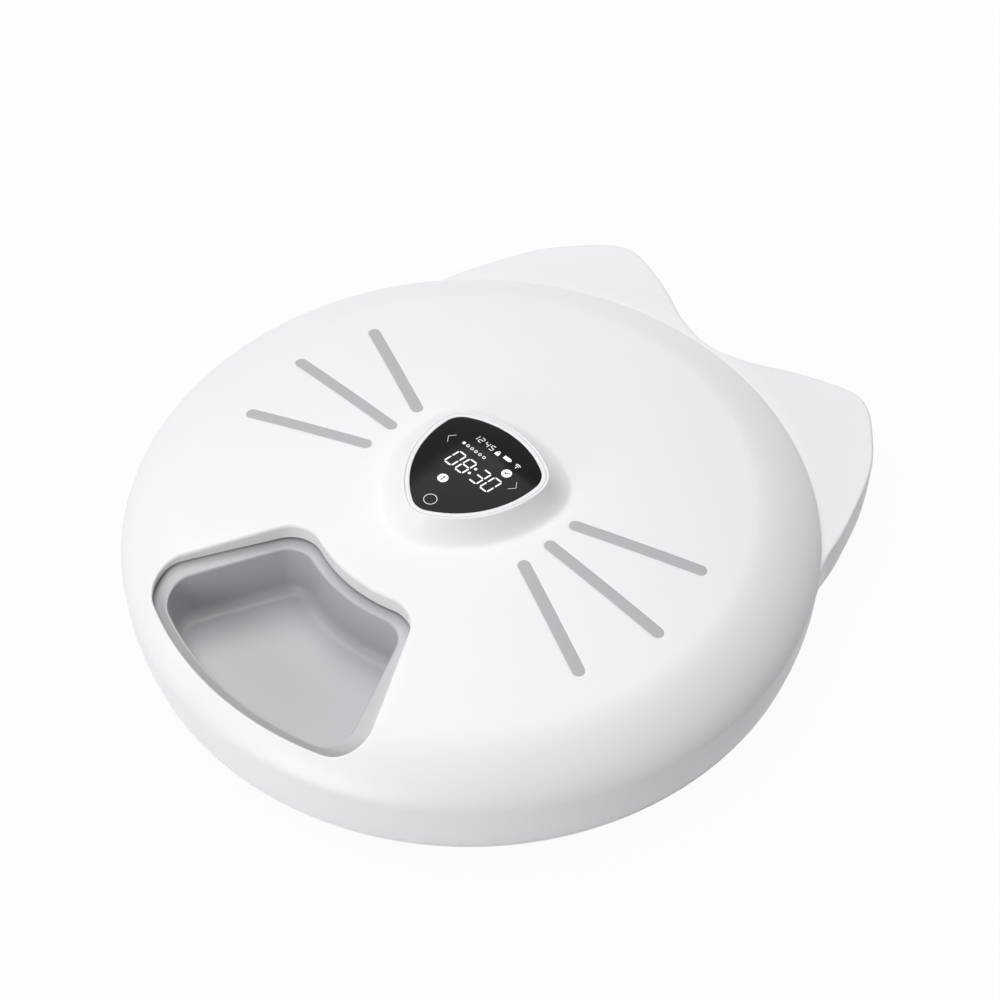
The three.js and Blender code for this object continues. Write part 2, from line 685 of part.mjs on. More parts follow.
// Base with its ears, the tray's well and the middle tower
function makeBase() {
  const earLevels = [
    { points: earOutline(footHeight, -earEdgeSoftness), height: footHeight },
    { points: earOutline(footHeight + earEdgeSoftness), height: footHeight + earEdgeSoftness },
    { points: earOutline(bodyBellyHeight), height: bodyBellyHeight },
    { points: earOutline(earTopHeight), height: earTopHeight - earEdgeSoftness },
    { points: earOutline(earTopHeight, -earEdgeSoftness), height: earTopHeight },
  ];
  const flange = turned([
    [0, footHeight],
    [wallRadius(footHeight), footHeight],
    [wallRadius(flangeHeight), flangeHeight],
    [0, flangeHeight],
  ]);
  const outside = join(
    loft(earLevels).intersect(behindSeam()),
    prism(circleOf(wellOuterRadius), footHeight, earTopHeight),
    flange,
    prism(circleOf(towerRadius), wellFloorUnderside, towerTopHeight),
  );
  const well = turned([
    [towerRadius, wellFloorHeight],
    [railInnerRadius, wellFloorHeight],
    [railInnerRadius, wellFloorHeight + railHeight],
    [railInnerRadius + railWidth, wellFloorHeight + railHeight],
    [railInnerRadius + railWidth, wellFloorHeight],
    [wellRadius, wellFloorHeight],
    [wellRadius, earTopHeight + overrun],
    [towerRadius, earTopHeight + overrun],
  ]);
  const earInside = prism(earOutline(footHeight, -earWall), footHeight - overrun, earTopHeight - earWall);
  const earHollow = cut(
    earInside.intersect(behindSeam(earWall)),
    prism(circleOf(wellOuterRadius), coverTop + fitGap, earTopHeight + overrun),
  );
  const coverSeat = prism(circleOf(wellRadius), footHeight - overrun, coverTop + fitGap);
  const underFloor = prism(circleOf(wellRadius), footHeight - overrun, wellFloorUnderside);
  const towerHollow = prism(circleOf(towerInnerRadius), footHeight - overrun, towerTopHeight + overrun);
  const pinionReach = pinionTipRadius + fitGap;
  const pinionSlot = block(
    -pinionReach,
    pinionReach,
    pinionY,
    towerRadius + overrun,
    pinionLow - fitGap,
    pinionHigh + fitGap,
  );
  const mouthLow = inletLow - fitGap;
  const inletMouth = block(
    -inletWidth / 2 - fitGap,
    inletWidth / 2 + fitGap,
    wellRadius - overrun,
    valleyReach + overrun,
    mouthLow,
    inletLow + inletHeight + fitGap,
  );
  const shell = cut(outside, well, earHollow, coverSeat, underFloor, towerHollow, pinionSlot, inletMouth);
  const bosses = coverScrewAngles.map((degrees) => {
    const p = polar(coverScrewRadius, degrees);
    const low = coverTop + fitGap;
    return cut(
      rod(coverScrewBoss, low, wellFloorUnderside + wellFloorThickness / 2, p.x, p.y),
      rod(screwHoleRadius, low - overrun, wellFloorUnderside + fitGap, p.x, p.y),
    );
  });
  return join(shell, ...bosses);
}

function circleOf(radius) {
  return Array.from({ length: latheSteps }, (_, i) => polar(radius, (360 * i) / latheSteps));
}

const inletBoardLow = coverTop + fitGap;
const inletLow = inletBoardLow + inletBoardThickness + fitGap;

// Underside cover with the screw seats, motor posts and the battery door's recess
const screwSeatTop = footHeight + screwHeadHeight + fitGap;

function makeCover() {
  const earPlate = prism(earOutline(footHeight, -earWall - fitGap), footHeight, coverTop);
  const plate = join(
    prism(circleOf(wellRadius - fitGap), footHeight, coverTop),
    earPlate.intersect(behindSeam(earWall + fitGap)),
  );
  const posts = [-flangeSpread, flangeSpread].map((x) =>
    rod(motorPostRadius, coverTop - fitGap, motorPostTop, x, motorY),
  );
  const postHoleLow = motorPostTop - motorScrewLength - fitGap;
  const postHoles = [-flangeSpread, flangeSpread].map((x) =>
    rod(screwHoleRadius, postHoleLow, motorPostTop + overrun, x, motorY),
  );
  const screwHoles = coverScrewAngles.flatMap((degrees) => {
    const p = polar(coverScrewRadius, degrees);
    return [
      rod(screwHeadRadius + screwHoleGap, footHeight - overrun, screwSeatTop, p.x, p.y),
      rod(screwHoleRadius, footHeight - overrun, coverTop + overrun, p.x, p.y),
    ];
  });
  const footSeats = footPlaces.map(([degrees, distance]) => {
    const p = polar(distance, degrees);
    return rod(footRadius + fitGap, footHeight - overrun, footHeight + footRecess + fitGap, p.x, p.y);
  });
  const recessHalf = cellBayHalfWidth + doorOverlap + fitGap;
  const recess = block(
    -recessHalf,
    recessHalf,
    bayFront - doorOverlap - fitGap,
    bayRear + doorOverlap + doorTravel + fitGap,
    footHeight - overrun,
    footHeight + doorRecessDepth,
  );
  const opening = block(
    -cellBayHalfWidth,
    cellBayHalfWidth,
    bayFront,
    bayRear,
    footHeight - overrun,
    coverTop + overrun,
  );
  return cut(join(plate, ...posts), ...postHoles, ...screwHoles, ...footSeats, recess, opening);
}

function makeDoor() {
  const plateHalf = cellBayHalfWidth + doorOverlap;
  const plate = block(
    -plateHalf,
    plateHalf,
    bayFront - doorOverlap,
    bayRear + doorOverlap,
    doorTop - doorThickness,
    doorTop,
  );
  const pad = block(
    -cellBayHalfWidth + fitGap,
    cellBayHalfWidth - fitGap,
    bayFront + fitGap,
    bayRear - doorTravel - fitGap,
    doorTop - fitGap,
    coverTop,
  );
  const tongues = [-tongueSpread, tongueSpread].map((x) => {
    const low = coverTop + fitGap;
    const reach = block(
      x - tongueWidth / 2,
      x + tongueWidth / 2,
      bayFront - tongueReach,
      bayFront + fitGap + tongueThickness,
      low,
      low + tongueThickness,
    );
    const riser = block(
      x - tongueWidth / 2,
      x + tongueWidth / 2,
      bayFront + fitGap,
      bayFront + fitGap + tongueThickness,
      coverTop - fitGap,
      low + tongueThickness,
    );
    return join(reach, riser);
  });
  const gripSpacing = doorThickness * 2;
  const gripTop = doorTop - doorThickness + doorThickness / 3;
  const grips = [-1, 0, 1].map((i) => {
    const y = bayRear - doorTravel / 2 + i * gripSpacing;
    const gripHalf = gripSpacing / 4;
    return block(-tongueSpread, tongueSpread, y - gripHalf, y + gripHalf, -overrun, gripTop);
  });
  return cut(join(plate, pad, ...tongues), ...grips);
}

function makeScrew(length) {
  const head = rod(screwHeadRadius, 0, screwHeadHeight);
  const shank = rod(screwShankRadius, screwHeadHeight - mergeReach, screwHeadHeight + length);
  const slotHalf = screwShankRadius / 3;
  const slotReach = screwHeadRadius * 0.6;
  const slotDepth = screwHeadHeight / 2;
  const slots = [
    block(-slotReach, slotReach, -slotHalf, slotHalf, -overrun, slotDepth),
    block(-slotHalf, slotHalf, -slotReach, slotReach, -overrun, slotDepth),
  ];
  return cut(join(head, shank), ...slots);
}

// Gear outlines with involute flanks
function involute(angle) {
  return Math.tan(angle) - angle;
}

function gearOutline(teeth, external, firstToothDegrees, flankSteps) {
  const pitchRadius = (gearModule * teeth) / 2;
  const pressure = THREE.MathUtils.degToRad(pressureAngle);
  const baseRadius = pitchRadius * Math.cos(pressure);
  const tip = external ? pitchRadius + gearAddendum : pitchRadius - gearAddendum;
  const root = external ? pitchRadius - gearDedendum : pitchRadius + gearDedendum;
  const sign = external ? 1 : -1;
  const halfAt = (radius) => {
    const turn = Math.acos(baseRadius / Math.max(radius, baseRadius));
    const away = involute(pressure) - involute(turn);
    return Math.PI / (2 * teeth) + sign * away - gearBacklash / (2 * pitchRadius);
  };
  const radii = Array.from({ length: flankSteps + 1 }, (_, i) => root + ((tip - root) * i) / flankSteps);
  return Array.from({ length: teeth }, (_, tooth) => {
    const middle = THREE.MathUtils.degToRad(firstToothDegrees) + (2 * Math.PI * tooth) / teeth;
    const rising = radii.map((r) => [r, middle - halfAt(r)]);
    const falling = [...radii].reverse().map((r) => [r, middle + halfAt(r)]);
    return [...rising, ...falling].map(([r, a]) => new THREE.Vector2(r * Math.cos(a), r * Math.sin(a)));
  }).flat();
}

// Carousel ring: it carries the tray, and its inner teeth are driven by the pinion
const toothAtRear = 90; // degrees
const keyTurn = 180 / pocketCount; // the keys stand between the pockets

function pocketHalfGap(radius) {
  return radius * Math.sin(THREE.MathUtils.degToRad(keyTurn - pocketHalfAngle)) - trayWall;
}

function makeCarousel() {
  const ring = turned([
    [collarInnerRadius, deckLowHeight],
    [railInnerRadius - runningGap, deckLowHeight],
    [railInnerRadius - runningGap, deckLowHeight + grooveDepth],
    [railInnerRadius + railWidth + runningGap, deckLowHeight + grooveDepth],
    [railInnerRadius + railWidth + runningGap, deckLowHeight],
    [deckOuterRadius, deckLowHeight],
    [deckOuterRadius, deckHeight],
    [collarRadius, deckHeight],
    [collarRadius, pinionHigh],
    [collarInnerRadius, pinionHigh],
  ]);
  const teeth = prism(circleOf(collarInnerRadius + collarWall / 2), pinionLow, pinionHigh, [
    gearOutline(ringTeeth, false, toothAtRear, 1),
  ]);
  const keyHalf = pocketHalfGap(keyInnerRadius) - keyGap;
  const keys = Array.from({ length: pocketCount }, (_, i) => {
    const bar = rectangle(keyInnerRadius, keyOuterRadius, -keyHalf, keyHalf);
    const turn = -90 + keyTurn + (360 * i) / pocketCount;
    return prism(moved(bar, 0, 0, turn), deckLowHeight + grooveDepth + fitGap, deckHeight + keyHeight);
  });
  const magnetSeat = rod(
    magnetRadius + fitGap,
    deckLowHeight - overrun,
    deckLowHeight + magnetHeight + fitGap,
    0,
    sensorRadius,
  );
  return cut(join(ring, teeth, ...keys), magnetSeat);
}

function makePinion() {
  const spaceAtRear = toothAtRear + 180 / pinionTeeth;
  const wheel = prism(gearOutline(pinionTeeth, true, spaceAtRear, 2), pinionLow, pinionHigh);
  return cut(wheel, rod(motorShaftRadius + fitGap, pinionLow - overrun, pinionHigh + overrun));
}

// Food tray: a rim plate with six hanging pockets
function makeTray() {
  const top = trayTopProfile();
  const apronLow = top[top.length - 1][1] - trayApronDepth;
  const under = everyOther(profileInside([[0, trayRimHeight], ...top], trayWall)).slice(1);
  const plate = turned([
    ...top,
    [trayOuterRadius, apronLow],
    [trayOuterRadius - trayWall, apronLow],
    ...under.slice(0, -1).reverse(),
    [trayInnerRadius + trayWall, trayRimHeight - trayWall],
    [trayInnerRadius + trayWall, trayRimHeight - trayApronDepth],
    [trayInnerRadius, trayRimHeight - trayApronDepth],
  ]);
  const mouth = sector(pocketInnerRadius, pocketOuterRadius, pocketHalfAngle, pocketCornerRadius);
  const outer = inset(mouth, -trayWall);
  const outerChamfer = (pocketFloorFillet + trayWall) * (2 - Math.SQRT2);
  const turns = Array.from({ length: pocketCount }, (_, i) => (360 * i) / pocketCount);
  const underTop = turned([
    ...top.map(([r, z]) => [r, z - mergeReach]),
    [trayOuterRadius, trayUnderside - overrun],
    [trayInnerRadius, trayUnderside - overrun],
  ]);
  const cups = turns.map((turn) => {
    return pocketSolid(moved(outer, 0, 0, turn), trayUnderside, trayRimHeight, outerChamfer, 1);
  });
  const mouthHeight = trayRimHeight + overrun;
  const hollows = turns.map((turn) => {
    return pocketSolid(moved(mouth, 0, 0, turn), pocketFloor, mouthHeight, pocketFloorFillet, 2);
  });
  return cut(join(plate, ...cups.map((cup) => cup.intersect(underTop))), ...hollows);
}

// An upright sector whose foot is drawn in by a rounding, in one or more steps
function pocketSolid(points, low, high, rounding, steps) {
  const levels = Array.from({ length: steps + 1 }, (_, i) => {
    const turn = (Math.PI / 2) * (i / steps);
    const drawnIn = rounding * (1 - Math.sin(turn));
    return { points: inset(points, drawnIn), height: low + rounding * (1 - Math.cos(turn)) };
  });
  return loft([...levels, { points, height: high }]);
}

// Display housing: the white cap over the tower with the raised nose
function makeDisplayHousing() {
  const cap = prism(circleOf(towerRadius), capUnderside, capTop);
  const skirtRadius = towerInnerRadius - fitGap;
  const skirtLow = capUnderside - capSkirtDepth;
  const skirt = prism(circleOf(skirtRadius), skirtLow, capUnderside + fitGap);
  const skirtHollow = prism(circleOf(skirtRadius - towerWall), skirtLow - overrun, capUnderside);
  const softness = housingRim / 6;
  const pod = loft([
    { points: nose(housingRim), height: capUnderside + fitGap },
    { points: nose(housingRim), height: displayTopHeight - softness },
    { points: inset(nose(housingRim), softness), height: displayTopHeight },
  ]);
  const glassSeat = prism(nose(fitGap), glassUnderside - fitGap, displayTopHeight + overrun);
  const shaft = prism(nose(-glassLedge), capUnderside - overrun, displayTopHeight + overrun);
  const lower = prism(nose(podInset - glassLedge), capUnderside - overrun, ledgeUnderside);
  return cut(join(cut(skirt, skirtHollow), cap, pod), glassSeat, shaft, lower);
}

// Battery box with the posts that carry the main board
function makeBatteryBox() {
  const outerHalf = cellBayHalfWidth + batteryBoxWall;
  const box = block(
    -outerHalf,
    outerHalf,
    bayFront - batteryBoxWall,
    bayRear + batteryBoxWall,
    batteryBoxLow,
    batteryBoxTop,
  );
  const inside = block(
    -cellBayHalfWidth,
    cellBayHalfWidth,
    bayFront,
    bayRear,
    batteryBoxLow - overrun,
    batteryBoxInside,
  );
  const notches = [-tongueSpread, tongueSpread].map((x) =>
    block(
      x - tongueWidth / 2 - fitGap,
      x + tongueWidth / 2 + fitGap,
      bayFront - overrun,
      bayFront + overrun,
      batteryBoxLow - overrun,
      batteryBoxLow + tongueThickness + fitGap * 2,
    ),
  );
  const posts = boardPosts().map(([x, y]) => {
    return rod(boardPostRadius, batteryBoxInside + fitGap, boardLow - fitGap, x, y);
  });
  const holes = boardPosts().map(([x, y]) =>
    rod(screwHoleRadius, boardTop - boardScrewLength - fitGap, boardTop, x, y),
  );
  return cut(join(box, ...posts), inside, ...notches, ...holes);
}

function boardPosts() {
  const inFrom = boardPostRadius * 2;
  return [
    [boardPostX, bayFront + inFrom],
    [-boardPostX, bayFront + inFrom],
    [boardPostX, bayRear - inFrom],
    [-boardPostX, bayRear - inFrom],
  ];
}

function makeMainBoard() {
  const board = block(-boardHalfWidth, boardHalfWidth, boardFrontY, boardRearY, boardLow, boardTop);
  const middleY = (boardFrontY + boardRearY) / 2;
  const low = boardTop - fitGap;
  const chipTop = boardTop + chipHeight;
  const plugTop = boardTop + plugHeight;
  const stands = [
    block(-chipSide / 2, chipSide / 2, middleY, middleY + chipSide, low, chipTop),
    block(chipSide, chipSide + radioLength, middleY, middleY + radioWidth, low, chipTop),
    block(-plugWidth / 2, plugWidth / 2, boardRearY - plugDepth, boardRearY, low, plugTop),
  ];
  const holes = boardPosts().map(([x, y]) =>
    rod(screwHoleRadius, boardLow - overrun, boardTop + overrun, x, y),
  );
  return cut(join(board, ...stands), ...holes);
}

function makeMotor() {
  const body = rod(motorRadius, motorBase, motorTop, 0, motorY);
  const flange = block(
    -flangeSpread - flangeWidth / 2,
    flangeSpread + flangeWidth / 2,
    motorY - flangeWidth / 2,
    motorY + flangeWidth / 2,
    motorTop - flangeThickness,
    motorTop,
  );
  const holes = [-flangeSpread, flangeSpread].map((x) =>
    rod(screwHoleRadius, motorTop - overrun, motorTop + overrun, x, motorY),
  );
  const boss = rod(motorShaftRadius * 2, motorTop - fitGap, pinionLow - fitGap, 0, pinionY);
  const shaftHole = rod(motorShaftRadius + fitGap, shaftLow - fitGap, pinionLow, 0, pinionY);
  return cut(join(body, flange, boss), ...holes, shaftHole);
}

// The motor's output shaft, with the flat that turns the pinion
function makeShaft() {
  const radius = motorShaftRadius;
  const flatY = radius * 0.7;
  const flat = block(-radius, radius, flatY, radius + overrun, pinionLow + fitGap, pinionHigh + overrun);
  return cut(rod(radius, shaftLow, pinionHigh), flat);
}

// A tube of round section that follows a smooth curve
function tube(points, radius) {
  const sides = 8;
  const steps = 14;
  const ring = Array.from({ length: sides }, (_, i) => polar(radius, (360 * i) / sides));
  const extrudePath = new THREE.CatmullRomCurve3(points);
  const section = new THREE.Shape(ring);
  return solid(new THREE.ExtrudeGeometry(section, { steps, extrudePath, bevelEnabled: false }));
}

function makeCell() {
  const body = rod(cellRadius, 0, cellLength);
  return join(body, rod(cellNubRadius, cellLength - mergeReach, cellLength + cellNubLength));
}

// A contact plate with a stud or a spring before each cell, by turns
function makeContact() {
  const half = cellBayHalfWidth - fitGap;
  const low = cellHeight - contactHeight / 2;
  const plate = block(-half, half, 0, contactThickness, low, low + contactHeight);
  const tips = Array.from({ length: cellCount }, (_, i) => {
    const sprung = i % 2 === 1;
    const base = sprung ? springRadius : cellNubRadius;
    const tip = sprung ? springRadius / 2 : cellNubRadius / 2;
    const reach = sprung ? springReach : springReach / 2;
    const cone = turned(
      [
        [0, 0],
        [base, 0],
        [tip, reach],
        [0, reach],
      ],
      12,
    );
    const x = (i - (cellCount - 1) / 2) * cellPitch;
    return cone.rotate([-90, 0, 0]).translate([x, contactThickness - mergeReach, cellHeight]);
  });
  return join(plate, ...tips);
}

// Assembly
addPiece("base_shell", makeBase(), whitePlastic);
addPiece("bottom_cover", makeCover(), whitePlastic);
addPiece("battery_door", makeDoor(), whitePlastic);

footPlaces.forEach(([degrees, distance], i) => {
  const p = polar(distance, degrees);
  const foot = rod(footRadius, 0, footHeight + footRecess);
  addPiece(`foot_${i + 1}`, foot, darkRubber, { x: p.x, y: p.y });
});

coverScrewAngles.forEach((degrees, i) => {
  const p = polar(coverScrewRadius, degrees);
  const z = footHeight + fitGap / 2;
  addPiece(`cover_screw_${i + 1}`, makeScrew(coverScrewLength), screwSteel, { x: p.x, y: p.y, z });
});

addPiece("lid_shell", makeLid(), whitePlastic);
for (const [side, row, name] of whiskers) addPiece(name, makeWhisker(side, row), greyInlay);

addPiece("food_tray", makeTray(), trayGrey);
addPiece("carousel_ring", makeCarousel(), nylonGear);
const magnet = rod(magnetRadius, deckLowHeight, deckLowHeight + magnetHeight, 0, sensorRadius);
addPiece("index_magnet", magnet, magnetSteel);

addPiece("gear_motor", makeMotor(), motorSteel);
addPiece("motor_shaft", makeShaft(), screwSteel, { y: pinionY });
addPiece("drive_pinion", makePinion(), nylonGear, { y: pinionY });
[-flangeSpread, flangeSpread].forEach((x, i) => {
  const placed = { x, y: motorY, z: motorTop + fitGap + screwHeadHeight, tilt: Math.PI };
  addPiece(`motor_screw_${i + 1}`, makeScrew(motorScrewLength), screwSteel, placed);
});

addPiece("display_housing", makeDisplayHousing(), whitePlastic);
addPiece("display_glass", prism(nose(), glassUnderside, glassTop), blackGlass);
addPiece("display_light_guide", prism(nose(-podInset), lightGuideLow, lightGuideTop), diffuser);
const displayBoardOutline = nose(podInset - glassLedge - fitGap);
const displayBoard = prism(displayBoardOutline, displayBoardLow, displayBoardTop);
addPiece("display_board", displayBoard, circuitBoard);
const ribbon = block(
  -ribbonWidth / 2,
  ribbonWidth / 2,
  ribbonY,
  ribbonY + ribbonThickness,
  boardTop + fitGap,
  displayBoardLow - fitGap,
);
addPiece("display_ribbon", ribbon, leadSleeve);

addPiece("main_board", makeMainBoard(), circuitBoard);
boardPosts().forEach(([x, y], i) => {
  const placed = { x, y, z: boardTop + fitGap + screwHeadHeight, tilt: Math.PI };
  addPiece(`board_screw_${i + 1}`, makeScrew(boardScrewLength), screwSteel, placed);
});
const buzzerLow = boardTop + fitGap;
const buzzer = rod(buzzerRadius, buzzerLow, buzzerLow + buzzerHeight, buzzerX, buzzerY);
addPiece("buzzer", buzzer, blackPlastic);

addPiece("battery_box", makeBatteryBox(), blackPlastic);
for (let i = 0; i < cellCount; i++) {
  const x = (i - (cellCount - 1) / 2) * cellPitch;
  const towardsFront = i % 2 === 0;
  const start = cellLength / 2;
  const y = cellBayY + (towardsFront ? start : -start);
  const tilt = towardsFront ? Math.PI / 2 : -Math.PI / 2;
  addPiece(`battery_cell_${i + 1}`, makeCell(), cellWrap, { x, y, z: cellHeight, tilt });
}
addPiece("front_contact", makeContact(), springSteel, { y: bayFront + fitGap });
addPiece("rear_contact", makeContact(), springSteel, { y: bayRear - fitGap, turn: Math.PI });

const sensorTop = wellFloorUnderside - fitGap;
const sensorMiddle = sensorRadius;
const sensor = block(
  -sensorWidth / 2,
  sensorWidth / 2,
  sensorMiddle - sensorDepth / 2,
  sensorMiddle + sensorDepth / 2,
  sensorTop - sensorHeight,
  sensorTop,
);
addPiece("position_sensor", sensor, blackPlastic);

// Power inlet in the rear wall between the ears
const inletRear = valleyReach - fitGap;
const inletBoardRear = wellRadius * Math.cos(Math.PI / latheSteps) - fitGap;
const inletBoard = block(
  -inletBoardWidth / 2,
  inletBoardWidth / 2,
  inletBoardRear - inletBoardDepth,
  inletBoardRear,
  inletBoardLow,
  inletBoardLow + inletBoardThickness,
);
addPiece("inlet_board", inletBoard, circuitBoard);
const inletHalf = inletWidth / 2;
const inletFront = inletRear - inletDepth - inletBoardDepth / 2;
const inletBody = cut(
  block(-inletHalf, inletHalf, inletFront, inletRear, inletLow, inletLow + inletHeight),
  block(
    -inletHalf + inletWall,
    inletHalf - inletWall,
    inletRear - inletDepth,
    inletRear + overrun,
    inletLow + inletWall,
    inletLow + inletHeight - inletWall,
  ),
);
addPiece("power_inlet", inletBody, motorSteel);

// Leads inside the housing, between the boards, the motor and the sensor
const leadHeight = coverTop + leadRadius * 2 + fitGap;
const leadAside = flangeSpread + motorPostRadius + leadRadius * 2;
const leadTurnY = bayRear + batteryBoxWall + leadRadius * 3;

function floorLead(side, startX, startY) {
  const x = side * leadAside;
  const at = (px, py, pz) => new THREE.Vector3(px, py, pz);
  return tube(
    [
      at(startX, startY, leadHeight),
      at(startX, startY - leadRadius * 3, leadHeight),
      at(x, motorY + motorRadius * 2, leadHeight),
      at(x, motorY, leadHeight),
      at(x, leadTurnY + leadRadius * 3, leadHeight + leadRadius),
      at(x, leadTurnY, leadHeight + leadRadius * 4),
      at(x, leadTurnY, boardLow - fitGap),
    ],
    leadRadius,
  );
}
addPiece("inlet_lead", floorLead(1, inletHalf, inletBoardRear - inletBoardDepth - fitGap), leadSleeve);
addPiece("sensor_lead", floorLead(-1, -leadRadius, sensorRadius - sensorDepth / 2 - fitGap), leadSleeve);
const motorFace = motorY - motorRadius - fitGap;
const motorLeadHeight = motorBase + motorBodyHeight / 2;
const motorLead = tube(
  [
    new THREE.Vector3(0, motorFace, motorLeadHeight),
    new THREE.Vector3(0, motorFace - leadRadius * 2, motorLeadHeight),
    new THREE.Vector3(0, leadTurnY, motorTop - leadRadius),
    new THREE.Vector3(0, leadTurnY, boardLow - fitGap),
  ],
  leadRadius,
);
addPiece("motor_lead", motorLead, leadSleeve);

export default feeder;
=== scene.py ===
# %% [markdown]
# A rotary pet feeder, dressed in Blender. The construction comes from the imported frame: its pieces, bodies
# and joints stay where they are. This script gives each piece that shows a fine surface and a finish, one
# step at a time: sizes, camera and light first, then the lid, the tray, the display, the base and the
# small parts. Lengths are written in millimetres and turned to metres when a mesh is made.

# %% Load the frame
import json
import math

import bmesh
import bpy
import numpy as np
from mathutils import Matrix, Vector, geometry


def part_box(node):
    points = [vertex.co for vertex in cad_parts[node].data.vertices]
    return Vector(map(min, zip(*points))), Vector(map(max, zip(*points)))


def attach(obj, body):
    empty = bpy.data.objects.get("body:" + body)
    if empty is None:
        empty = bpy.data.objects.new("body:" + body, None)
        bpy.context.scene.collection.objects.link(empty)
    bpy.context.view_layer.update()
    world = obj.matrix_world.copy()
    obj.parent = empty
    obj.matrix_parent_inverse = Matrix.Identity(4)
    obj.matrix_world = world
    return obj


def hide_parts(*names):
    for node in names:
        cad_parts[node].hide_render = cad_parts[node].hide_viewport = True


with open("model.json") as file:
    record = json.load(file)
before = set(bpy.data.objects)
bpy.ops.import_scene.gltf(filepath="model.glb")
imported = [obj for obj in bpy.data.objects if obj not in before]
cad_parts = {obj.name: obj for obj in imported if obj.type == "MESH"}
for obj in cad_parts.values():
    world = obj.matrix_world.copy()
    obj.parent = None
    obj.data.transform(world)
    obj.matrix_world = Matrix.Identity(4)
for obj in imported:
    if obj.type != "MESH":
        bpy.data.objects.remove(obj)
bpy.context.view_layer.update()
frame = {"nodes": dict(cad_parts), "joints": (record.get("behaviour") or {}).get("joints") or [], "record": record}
mm = 0.001
axis_y = next(j for j in frame["joints"] if j["name"] == "tray_spin")["pos_m"][1]
print("nodes", len(frame["nodes"]), "turning axis at y =", round(axis_y / mm, 2), "mm")

# %% [markdown]
# The camera stands where the photograph was taken from. Its place was worked out from the rim, window,
# whiskers and display: it looks down at a steep angle over the feeder's front right. A camera in Blender
# looks along its own -Z with +Y up, so three unit vectors make its turning matrix.

# %% Camera
camera_azimuth = math.radians(45.184)
camera_elevation = math.radians(48.399)
camera_distance = 987.80
camera_aside = 13.54
camera_raise = 30.61
lens_mm = 72.74

right = Vector((math.cos(camera_azimuth), math.sin(camera_azimuth), 0))
back = Vector((
    math.sin(camera_azimuth) * math.cos(camera_elevation),
    -math.cos(camera_azimuth) * math.cos(camera_elevation),
    math.sin(camera_elevation),
))
up = back.cross(right)
place = Vector((0, axis_y, 0)) + (back * camera_distance + right * camera_aside + up * camera_raise) * mm
camera = bpy.data.objects.new("camera", bpy.data.cameras.new("camera"))
camera.data.lens = lens_mm
camera.matrix_world = Matrix((
    (right.x, up.x, back.x, place.x),
    (right.y, up.y, back.y, place.y),
    (right.z, up.z, back.z, place.z),
    (0, 0, 0, 1),
))
bpy.context.scene.collection.objects.link(camera)
bpy.context.scene.camera = camera
bpy.context.scene.view_settings.view_transform = "Standard"
print("camera at", [round(v, 3) for v in place])

# %% [markdown]
# Every finish is a small tree of nodes. One function adds a node, sets it and links it. Colours are written
# as the hex values of a paint chart, and the shader wants linear light, so one function turns them over.

# %% Helpers for node trees and colours
def add_node(tree, kind, inputs=None, **settings):
    """Add a node; inputs gives each socket, by name or number, a value or another node's output."""
    node = tree.nodes.new(kind)
    for name, value in settings.items():
        setattr(node, name, value)
    for key, value in (inputs or {}).items():
        if isinstance(value, bpy.types.NodeSocket):
            tree.links.new(value, node.inputs[key])
        else:
            node.inputs[key].default_value = value
    return node


def linear(hex_colour):
    """The linear colour of an sRGB hex value such as F4F5F7."""
    channels = [int(hex_colour[i:i + 2], 16) / 255 for i in (0, 2, 4)]
    return (*[c / 12.92 if c <= 0.04045 else ((c + 0.055) / 1.055) ** 2.4 for c in channels], 1)


def material_tree(name):
    """A new material with an empty tree: returns the material and the tree."""
    material = bpy.data.materials.new(name)
    material.use_nodes = True
    material.node_tree.nodes.clear()
    return material, material.node_tree


def finish_tree(tree, shader):
    output = add_node(tree, "ShaderNodeOutputMaterial")
    tree.links.new(shader.outputs[0], output.inputs["Surface"])

# %% [markdown]
# Light in a product photograph is soft and comes from nearly everywhere. A weak white world gives the base.
# It looks pure white to the camera, in a gloss and through a clear piece, but lights the feeder only a
# little, because the kind of ray chooses between two strengths.

# %% World
world_strength = 0.16


def seen_directly(tree):
    """One for a ray that shows what it meets: from the camera, off a gloss or through a clear piece."""
    path = add_node(tree, "ShaderNodeLightPath").outputs
    glossy = add_node(tree, "ShaderNodeMath", {0: path["Is Camera Ray"], 1: path["Is Glossy Ray"]},
                      operation="MAXIMUM")
    return add_node(tree, "ShaderNodeMath", {0: glossy.outputs[0], 1: path["Is Transmission Ray"]},
                    operation="MAXIMUM").outputs[0]


world = bpy.data.worlds.new("soft white studio")
bpy.context.scene.world = world
world.use_nodes = True
sky = world.node_tree
sky.nodes.clear()
lit = add_node(sky, "ShaderNodeBackground", {"Color": linear("FFFFFF"), "Strength": world_strength})
shown = add_node(sky, "ShaderNodeBackground", {"Color": linear("FFFFFF"), "Strength": 1.0})
mixed = add_node(sky, "ShaderNodeMixShader", {0: seen_directly(sky), 1: lit.outputs[0], 2: shown.outputs[0]})
add_node(sky, "ShaderNodeOutputWorld", {"Surface": mixed.outputs[0]})
print("world", world_strength)

# %% [markdown]
# A large area lamp high above gives the shape, and a weaker one low on the left in front lifts the walls that
# face it, so that the right side falls off softly. A large lamp makes soft shadows. Places and sizes of the
# lamps and the floor are in metres, powers in watts.

# %% Lamps
key_place, key_power, key_size = (-0.4, 2.6, 0.8), 69, 2.8
front_place, front_power, front_size = (-1.05, 0.4, -1.3), 13.5, 1.0


